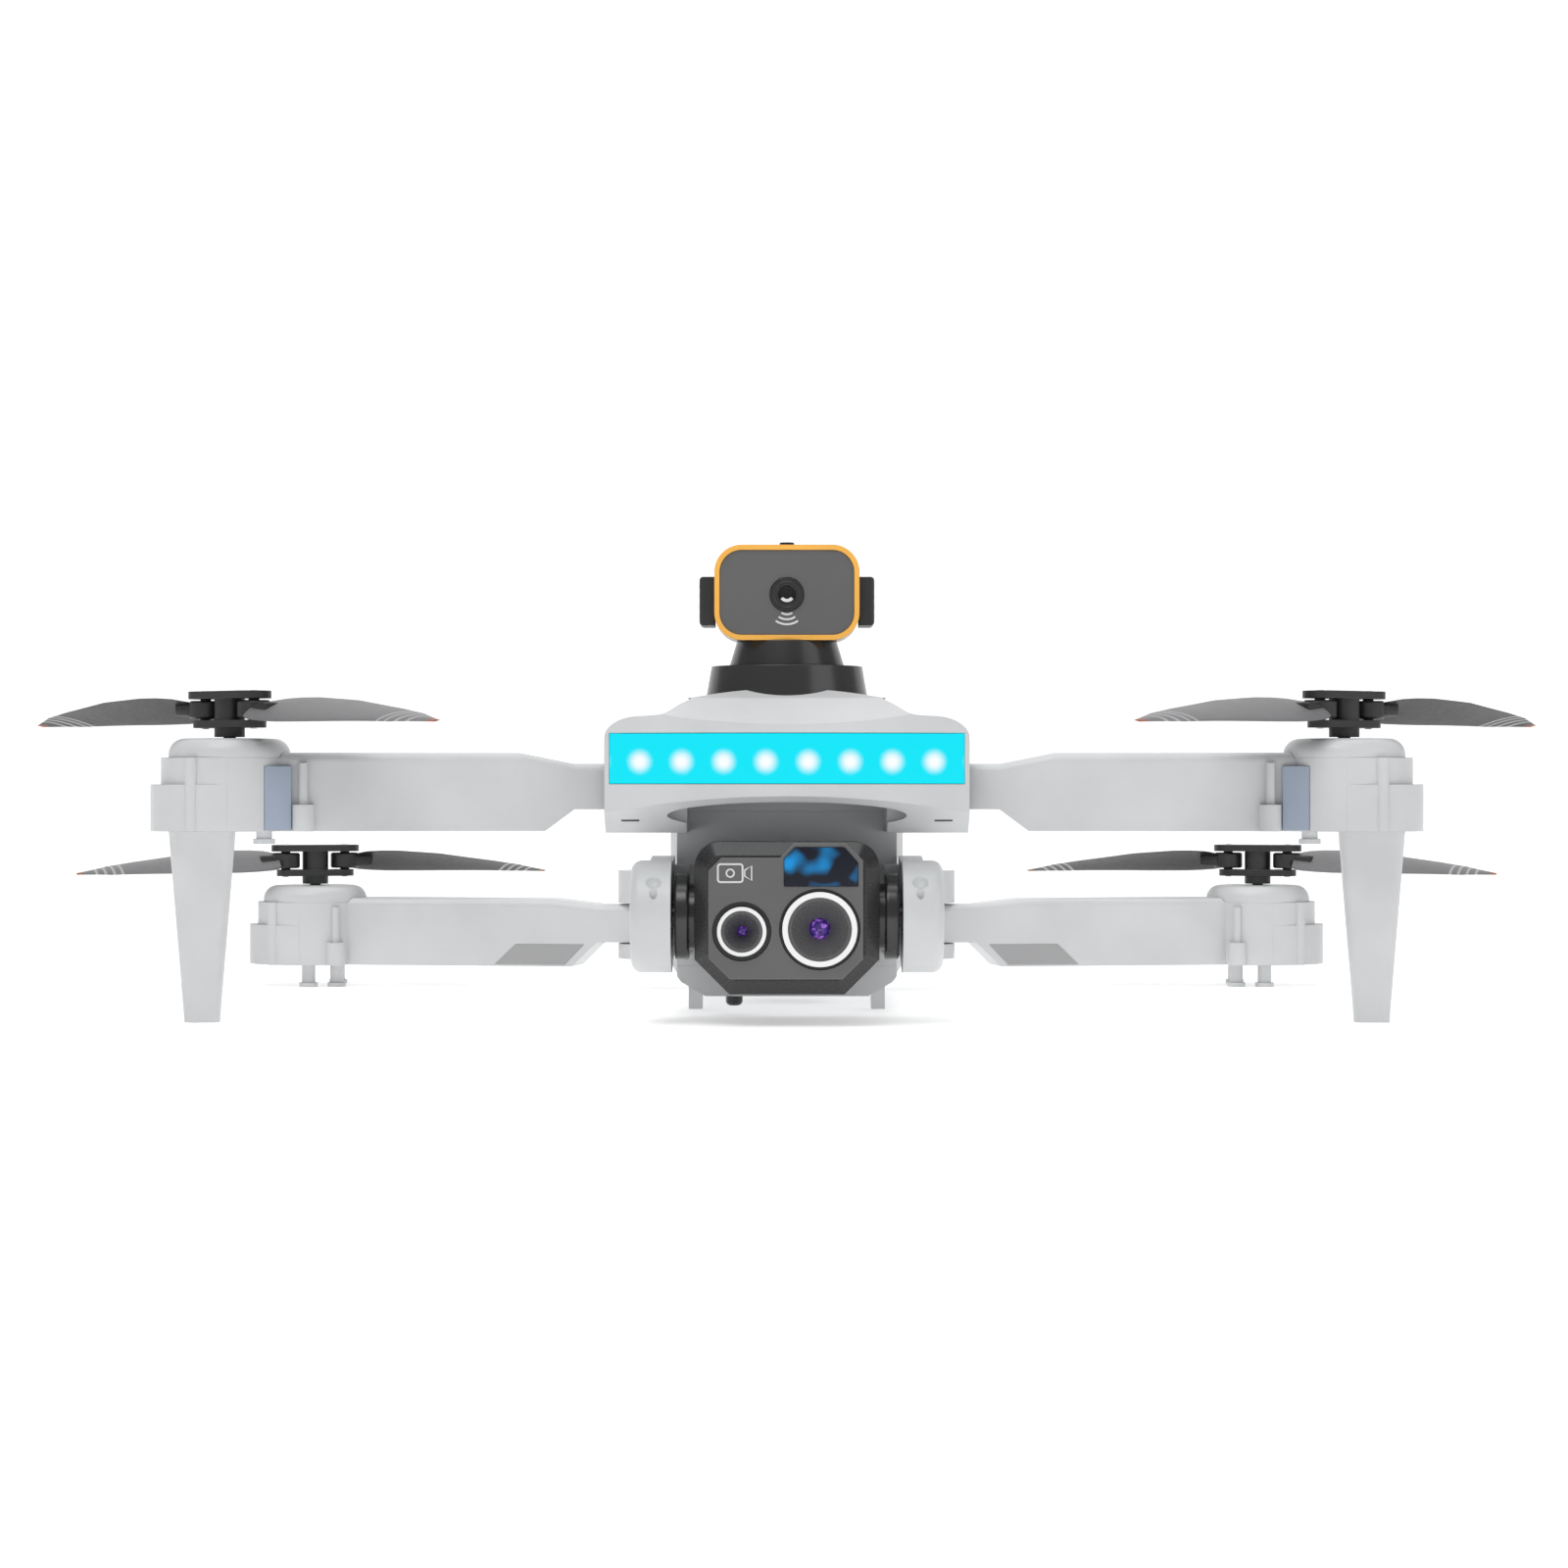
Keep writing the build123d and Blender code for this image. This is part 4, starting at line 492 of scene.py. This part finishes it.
dress(black_abs, "power_button", "battery_case")
dress(orange_trim, "battery_latch")
dress(moulded("cell_wrap", (0.08, 0.16, 0.40), rough=0.3), "battery_cells")
tail_low, tail_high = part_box("battery_case")
tail_z = (tail_low.z + tail_high.z) / 2
for side in (-1, 1):
    for index in range(GRIPS):
        out = GRIP_FIRST + GRIP_PITCH * index
        ridge_place = (side * out * MM, tail_high.y - GRIP_SUNK * MM, tail_z)
        ridge = put(rounded_block(GRIP_RIDGE_SIZE, GRIP_RIDGE_EDGE), ridge_place)
        make_piece(f"grip_ridge_{side}_{index}", ridge, black_abs, "battery")
for index in range(CHARGE_LAMPS):
    out = CHARGE_FIRST + CHARGE_PITCH * index
    lamp_place = (out * MM, tail_high.y - CHARGE_SUNK * MM, tail_z - CHARGE_DOWN * MM)
    lamp = put(rounded_block(CHARGE_LAMP_SIZE, CHARGE_LAMP_EDGE), lamp_place)
    make_piece(f"charge_lamp_{index}", lamp, lamp_white, "battery")


# ---------------------------------------------------------------- screws, pins and motors
# Turned and ground steel: the shell screws come up from underneath, the pivot pins hold the arms in their
# yokes, and the motors are cans of the same bright metal inside the pods.
steel = moulded("steel", (0.55, 0.55, 0.56), rough=0.30, metallic=1.0, grain_depth_mm=0.002, wear_and_highlight=0.2)
dress(steel, "shell_screws", "arm_pivot_pins")
for side in ("left", "right"):
    for end in ("front", "rear"):
        dress(steel, f"{end}_motor_{side}")


# ---------------------------------------------------------------- arms and legs
# Hollow light grey mouldings that end in a motor pod with a separate domed cover. The front pods stand on
# tapered legs, with a lamp window let into the side of each, coloured bluish as a painted blue reflection.
dress(moulded("lamp_tint", (0.33, 0.385, 0.48), rough=0.30), "arm_lamp_left", "arm_lamp_right")
for side in ("left", "right"):
    dress(body_grey, "landing_leg_" + side)
    for end in ("front", "rear"):
        dress(body_grey, f"{end}_arm_{side}", f"{end}_motor_cover_{side}")


# ---------------------------------------------------------------- rear arm inserts
# A dull grey plate on the leading face of each rear arm, low down near its root. It is a thin separate
# moulding let into the arm, a hair proud of its face.
REAR_LEAN = math.radians(10.0)
INSERT_CORNERS = ((19.5, 12.4), (25.0, 6.7), (45.0, 6.7), (39.0, 12.4))
INSERT_PROUD, INSERT_SUNK = 0.12, -0.3
ARM_FACE_OUT, ARM_FACE_FROM, ARM_FACE_TAPER = 7.0, 16.0, 0.0185

insert_grey = moulded("insert_grey", (0.36, 0.36, 0.365), rough=0.5)
joints = {joint["name"]: joint for joint in frame["joints"]}
for side, name in ((-1, "left"), (1, "right")):
    pivot = Vector(joints[f"rear_arm_{name}_fold"]["pos_m"])
    along = Vector((side * math.cos(REAR_LEAN), math.sin(REAR_LEAN), 0))
    lead = Vector((side * math.sin(REAR_LEAN), -math.cos(REAR_LEAN), 0))
    mesh = bmesh.new()
    front, back = [], []
    for reach, height in INSERT_CORNERS:
        face_out = ARM_FACE_OUT + (reach - ARM_FACE_FROM) * ARM_FACE_TAPER
        for row, depth in ((front, INSERT_PROUD), (back, INSERT_SUNK)):
            spot = pivot + along * reach * MM + lead * (face_out + depth) * MM
            row.append(mesh.verts.new((spot.x, spot.y, height * MM)))
    mesh.faces.new(front)
    mesh.faces.new(list(reversed(back)))
    for corner in range(4):
        after = (corner + 1) % 4
        mesh.faces.new((front[corner], back[corner], back[after], front[after]))
    make_piece(f"rear_insert_{name}", mesh, insert_grey, f"rear_arm_{name}", smooth=False)


# ---------------------------------------------------------------- propellers
# Black glass-filled nylon clamps with two thin cambered blades each, hinged on steel pins. Neighbouring
# propellers turn opposite ways, so their blades are pitched opposite ways.
PROP_REACH = 67.0
# distance from the hub axis, chord, pitch in degrees, thickness, sideways offset, droop
BLADE_STATIONS = (
    (11.0, 11.5, 20.0, 2.2, -0.4, 0.0),
    (13.0, 13.6, 22.0, 1.9, 0.0, 0.0),
    (17.0, 15.4, 22.0, 1.7, 0.7, 0.05),
    (22.0, 16.8, 21.0, 1.5, 1.2, 0.2),
    (34.0, 18.0, 17.0, 1.25, 1.6, 0.7),
    (50.0, 15.0, 12.0, 1.0, 1.2, 1.8),
    (58.0, 12.4, 9.6, 0.85, 1.2, 2.5),
    (PROP_REACH, 2.4, 7.0, 0.5, 2.4, 3.4),
)
SPAN_STEPS = 44
RIM_STEPS = 22
CAMBER = 0.045
# how full the rim is on average, and how much fuller a blade's low edge is than its raised edge
RIM_FULLNESS, RIM_BIAS = 0.62, 0.38
EYE_BORE, EYE_RADIUS, EYE_HALF_HEIGHT, EYE_CHAMFER = 1.45, 4.0, 2.15, 0.4
EYE_STEPS = 28
ROOT_NECK_SIZE, ROOT_NECK_EDGE, ROOT_NECK_OUT = (5.0, 6.6, 3.0), 0.5, 5.0
SAFETY_LINES = (0.79, 0.83, 0.87, 0.91)
TIP_FROM, TIP_FULL = 0.965, 0.985
PIN_HEAD_SIZE, PIN_TAIL_DOWN = (1.7, 1.7, 0.5), 4.4


def station_at(reach):
    for low, high in zip(BLADE_STATIONS, BLADE_STATIONS[1:]):
        if reach <= high[0]:
            part = (reach - low[0]) / (high[0] - low[0])
            return [a + (b - a) * part for a, b in zip(low, high)]
    return list(BLADE_STATIONS[-1])


def blade_mesh(hub, pin, hand):
    outward = (pin - hub).normalized()
    sideways = Vector((-outward.y, outward.x, 0))
    mesh = bmesh.new()
    span = mesh.verts.layers.float.new("span")
    rings = []
    first = BLADE_STATIONS[0][0]
    for step in range(SPAN_STEPS + 1):
        share = step / SPAN_STEPS
        reach, chord, pitch, thick, offset, droop = station_at(first + (PROP_REACH - first) * share)
        tilt = math.radians(hand * pitch)
        ring = []
        for corner in range(RIM_STEPS):
            angle = math.tau * corner / RIM_STEPS
            along = math.cos(angle) * chord / 2
            arch = CAMBER * chord * (1 - (2 * along / chord) ** 2)
            fullness = RIM_FULLNESS - RIM_BIAS * hand * math.cos(angle)
            up = math.sin(angle) * thick / 2 * fullness + arch
            across = hand * offset + along * math.cos(tilt) - up * math.sin(tilt)
            height = along * math.sin(tilt) + up * math.cos(tilt) - droop
            place = hub + outward * reach * MM + sideways * across * MM
            vertex = mesh.verts.new((place.x, place.y, pin.z + height * MM))
            vertex[span] = share
            ring.append(vertex)
        rings.append(ring)
    for inner, outer in zip(rings, rings[1:]):
        for corner in range(RIM_STEPS):
            after = (corner + 1) % RIM_STEPS
            mesh.faces.new((inner[corner], inner[after], outer[after], outer[corner]))
    mesh.faces.new(rings[0])
    mesh.faces.new(list(reversed(rings[-1])))
    return mesh


def blade_root_mesh(hub, pin):
    """Hinge eye round the pin with a short neck out to the blade."""
    outward = (pin - hub).normalized()
    chamfer_r, chamfer_z = EYE_RADIUS - EYE_CHAMFER, EYE_HALF_HEIGHT - EYE_CHAMFER
    profile = [(EYE_BORE, -EYE_HALF_HEIGHT), (chamfer_r, -EYE_HALF_HEIGHT), (EYE_RADIUS, -chamfer_z),
               (EYE_RADIUS, chamfer_z), (chamfer_r, EYE_HALF_HEIGHT), (EYE_BORE, EYE_HALF_HEIGHT)]
    mesh = bmesh.new()
    rows = []
    for step in range(EYE_STEPS):
        angle = math.tau * step / EYE_STEPS
        row = []
        for r, z in profile:
            x, y = pin.x + r * MM * math.cos(angle), pin.y + r * MM * math.sin(angle)
            row.append(mesh.verts.new((x, y, pin.z + z * MM)))
        rows.append(row)
    for step in range(EYE_STEPS):
        here, after = rows[step], rows[(step + 1) % EYE_STEPS]
        for index in range(len(profile)):
            following = (index + 1) % len(profile)
            mesh.faces.new((here[index], after[index], after[following], here[following]))
    neck = rounded_block(ROOT_NECK_SIZE, ROOT_NECK_EDGE)
    heading = math.degrees(math.atan2(outward.y, outward.x))
    put(neck, pin + outward * ROOT_NECK_OUT * MM, (0, 0, heading))
    holder = bpy.data.meshes.new("neck")
    neck.to_mesh(holder)
    neck.free()
    mesh.from_mesh(holder)
    bpy.data.meshes.remove(holder)
    return mesh


def blade_nylon(name):
    """Satin black nylon: fine specks of glass fibre, thin pale safety lines, a coloured tip and painted
    light on the top face.
    """
    material, tree, links = new_material(name)
    shader = tree["Principled BSDF"]
    span = tree.new("ShaderNodeAttribute")
    span.attribute_name = "span"
    place = tree.new("ShaderNodeTexCoord")
    fibre = tree.new("ShaderNodeTexNoise")
    fibre.inputs["Scale"].default_value = 700.0
    fibre.inputs["Detail"].default_value = 4.0
    links.new(place.outputs["Object"], fibre.inputs["Vector"])
    # painted light: faces turned upward are painted a paler grey than the underside, as if lit from above
    facing = tree.new("ShaderNodeNewGeometry")
    split = tree.new("ShaderNodeSeparateXYZ")
    links.new(facing.outputs["Normal"], split.inputs["Vector"])
    lit_top_mask = tree.new("ShaderNodeMapRange")
    lit_top_mask.inputs["From Min"].default_value = 0.0
    lit_top_mask.inputs["From Max"].default_value = 0.45
    links.new(split.outputs["Z"], lit_top_mask.inputs["Value"])
    dark = ramp_between(tree, links, fibre.outputs["Fac"], (0.016, 0.016, 0.017), (0.026, 0.026, 0.027))
    lit_top_tone = ramp_between(tree, links, fibre.outputs["Fac"], (0.15, 0.15, 0.155), (0.21, 0.21, 0.215))
    lines = ramp_between(tree, links, span.outputs["Fac"], (0, 0, 0), (0, 0, 0))
    for middle in SAFETY_LINES:
        for offset, shade in ((-0.008, 0.0), (-0.004, 0.75), (0.004, 0.75), (0.008, 0.0)):
            lines.color_ramp.elements.new(middle + offset).color = (shade, shade, shade, 1)
    tip = ramp_between(tree, links, span.outputs["Fac"], (0, 0, 0), (0.7, 0.7, 0.7), TIP_FROM, TIP_FULL)

    def blend(factor, first, second):
        mix = tree.new("ShaderNodeMix")
        mix.data_type = "RGBA"
        links.new(factor, mix.inputs["Factor"])
        for socket, value in ((mix.inputs["A"], first), (mix.inputs["B"], second)):
            if isinstance(value, tuple):
                socket.default_value = value
            else:
                links.new(value, socket)
        return mix.outputs["Result"]

    painted_lit_top_mix = blend(lit_top_mask.outputs["Result"], dark.outputs["Color"], lit_top_tone.outputs["Color"])
    lined = blend(lines.outputs["Color"], painted_lit_top_mix, (0.50, 0.50, 0.51, 1))
    tipped = blend(tip.outputs["Color"], lined, (0.42, 0.10, 0.03, 1))
    links.new(tipped, shader.inputs["Base Color"])
    shader.inputs["Specular IOR Level"].default_value = 0.18
    gloss = tree.new("ShaderNodeMapRange")
    gloss.inputs["To Min"].default_value = 0.34
    gloss.inputs["To Max"].default_value = 0.52
    links.new(fibre.outputs["Fac"], gloss.inputs["Value"])
    links.new(gloss.outputs["Result"], shader.inputs["Roughness"])
    bump = tree.new("ShaderNodeBump")
    bump.inputs["Distance"].default_value = 0.006 * MM
    links.new(fibre.outputs["Fac"], bump.inputs["Height"])
    links.new(bump.outputs["Normal"], shader.inputs["Normal"])
    return material


blade_black = blade_nylon("blade_nylon")
for side in ("left", "right"):
    for end in ("front", "rear"):
        hub = Vector(joints[f"{end}_prop_spin_{side}"]["pos_m"])
        clamp = f"{end}_prop_hub_{side}"
        dress(black_abs, clamp)
        clamp_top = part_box(clamp)[1].z
        hand = (-1 if end == "front" else 1) * (1 if side == "right" else -1)
        for which in ("outer", "inner"):
            node = f"{end}_blade_{which}_{side}"
            pin = Vector(joints[node + "_fold" if node + "_fold" in joints else node]["pos_m"])
            level_hub = Vector((hub.x, hub.y, pin.z))
            blade = make_piece(node + "_vane", blade_mesh(level_hub, pin, hand), blade_black, node)
            make_piece(node + "_root", blade_root_mesh(level_hub, pin), black_abs, node)
            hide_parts(node)
            for level, name in ((clamp_top, "head"), (pin.z - PIN_TAIL_DOWN * MM, "tail")):
                rivet = put(rounded_block(PIN_HEAD_SIZE, SLOT_EDGE), (pin.x, pin.y, level))
                make_piece(f"{node}_pin_{name}", rivet, steel, f"{end}_prop_{side}")


# ---------------------------------------------------------------- studio
# A seamless white sweep and three soft lamps, with a faint even light all round. Lengths are in metres
# and the sweep glows a little so that its far parts stay white.
SWEEP_HALF_WIDTH, SWEEP_FRONT, SWEEP_BACK, SWEEP_HEIGHT, SWEEP_CURVE = 3.0, -3.0, 2.0, 3.0, 0.8
SWEEP_STEPS = 12
SWEEP_GLOW = 0.42
AROUND_LIGHT = 0.36
# name, place, aim, width, height, power in watts
LAMPS = (
    ("key", (-0.45, -0.85, 1.5), (0, 0, 0.05), 1.0, 0.7, 10.0),
    ("fill", (1.1, -0.8, 0.6), (0, 0, 0.05), 0.9, 0.7, 2.2),
    ("top", (0, 0.2, 1.5), (0, 0, 0), 1.2, 1.2, 9.0),
)

curve_foot = SWEEP_BACK - SWEEP_CURVE
profile = [(SWEEP_FRONT, 0.0), (curve_foot, 0.0)]
for step in range(1, SWEEP_STEPS + 1):
    angle = math.radians(90 * step / SWEEP_STEPS)
    profile.append((curve_foot + SWEEP_CURVE * math.sin(angle), SWEEP_CURVE - SWEEP_CURVE * math.cos(angle)))
profile.append((SWEEP_BACK, SWEEP_HEIGHT))
mesh = bmesh.new()
left, right = [[mesh.verts.new((side * SWEEP_HALF_WIDTH, y, z)) for y, z in profile] for side in (-1, 1)]
for index in range(len(profile) - 1):
    mesh.faces.new((left[index], right[index], right[index + 1], left[index + 1]))
sweep_data = bpy.data.meshes.new("backdrop")
mesh.to_mesh(sweep_data)
mesh.free()
for face in sweep_data.polygons:
    face.use_smooth = True
backdrop = bpy.data.objects.new("backdrop", sweep_data)
bpy.context.scene.collection.objects.link(backdrop)
white, white_nodes, _ = new_material("studio_white")
white_shader = white_nodes["Principled BSDF"]
white_shader.inputs["Base Color"].default_value = (0.90, 0.90, 0.90, 1)
white_shader.inputs["Roughness"].default_value = 0.9
white_shader.inputs["Emission Color"].default_value = (1, 1, 1, 1)
white_shader.inputs["Emission Strength"].default_value = SWEEP_GLOW
sweep_data.materials.append(white)

for name, place, aim, width, height, power in LAMPS:
    lamp_data = bpy.data.lights.new(name, "AREA")
    lamp_data.shape = "RECTANGLE"
    lamp_data.size = width
    lamp_data.size_y = height
    lamp_data.energy = power
    lamp = bpy.data.objects.new(name, lamp_data)
    bpy.context.scene.collection.objects.link(lamp)
    lamp.location = place
    lamp.rotation_euler = (Vector(aim) - Vector(place)).to_track_quat("-Z", "Y").to_euler()
world = bpy.data.worlds.new("studio")
bpy.context.scene.world = world
world.use_nodes = True
world.node_tree.nodes["Background"].inputs["Color"].default_value = (1, 1, 1, 1)
world.node_tree.nodes["Background"].inputs["Strength"].default_value = AROUND_LIGHT
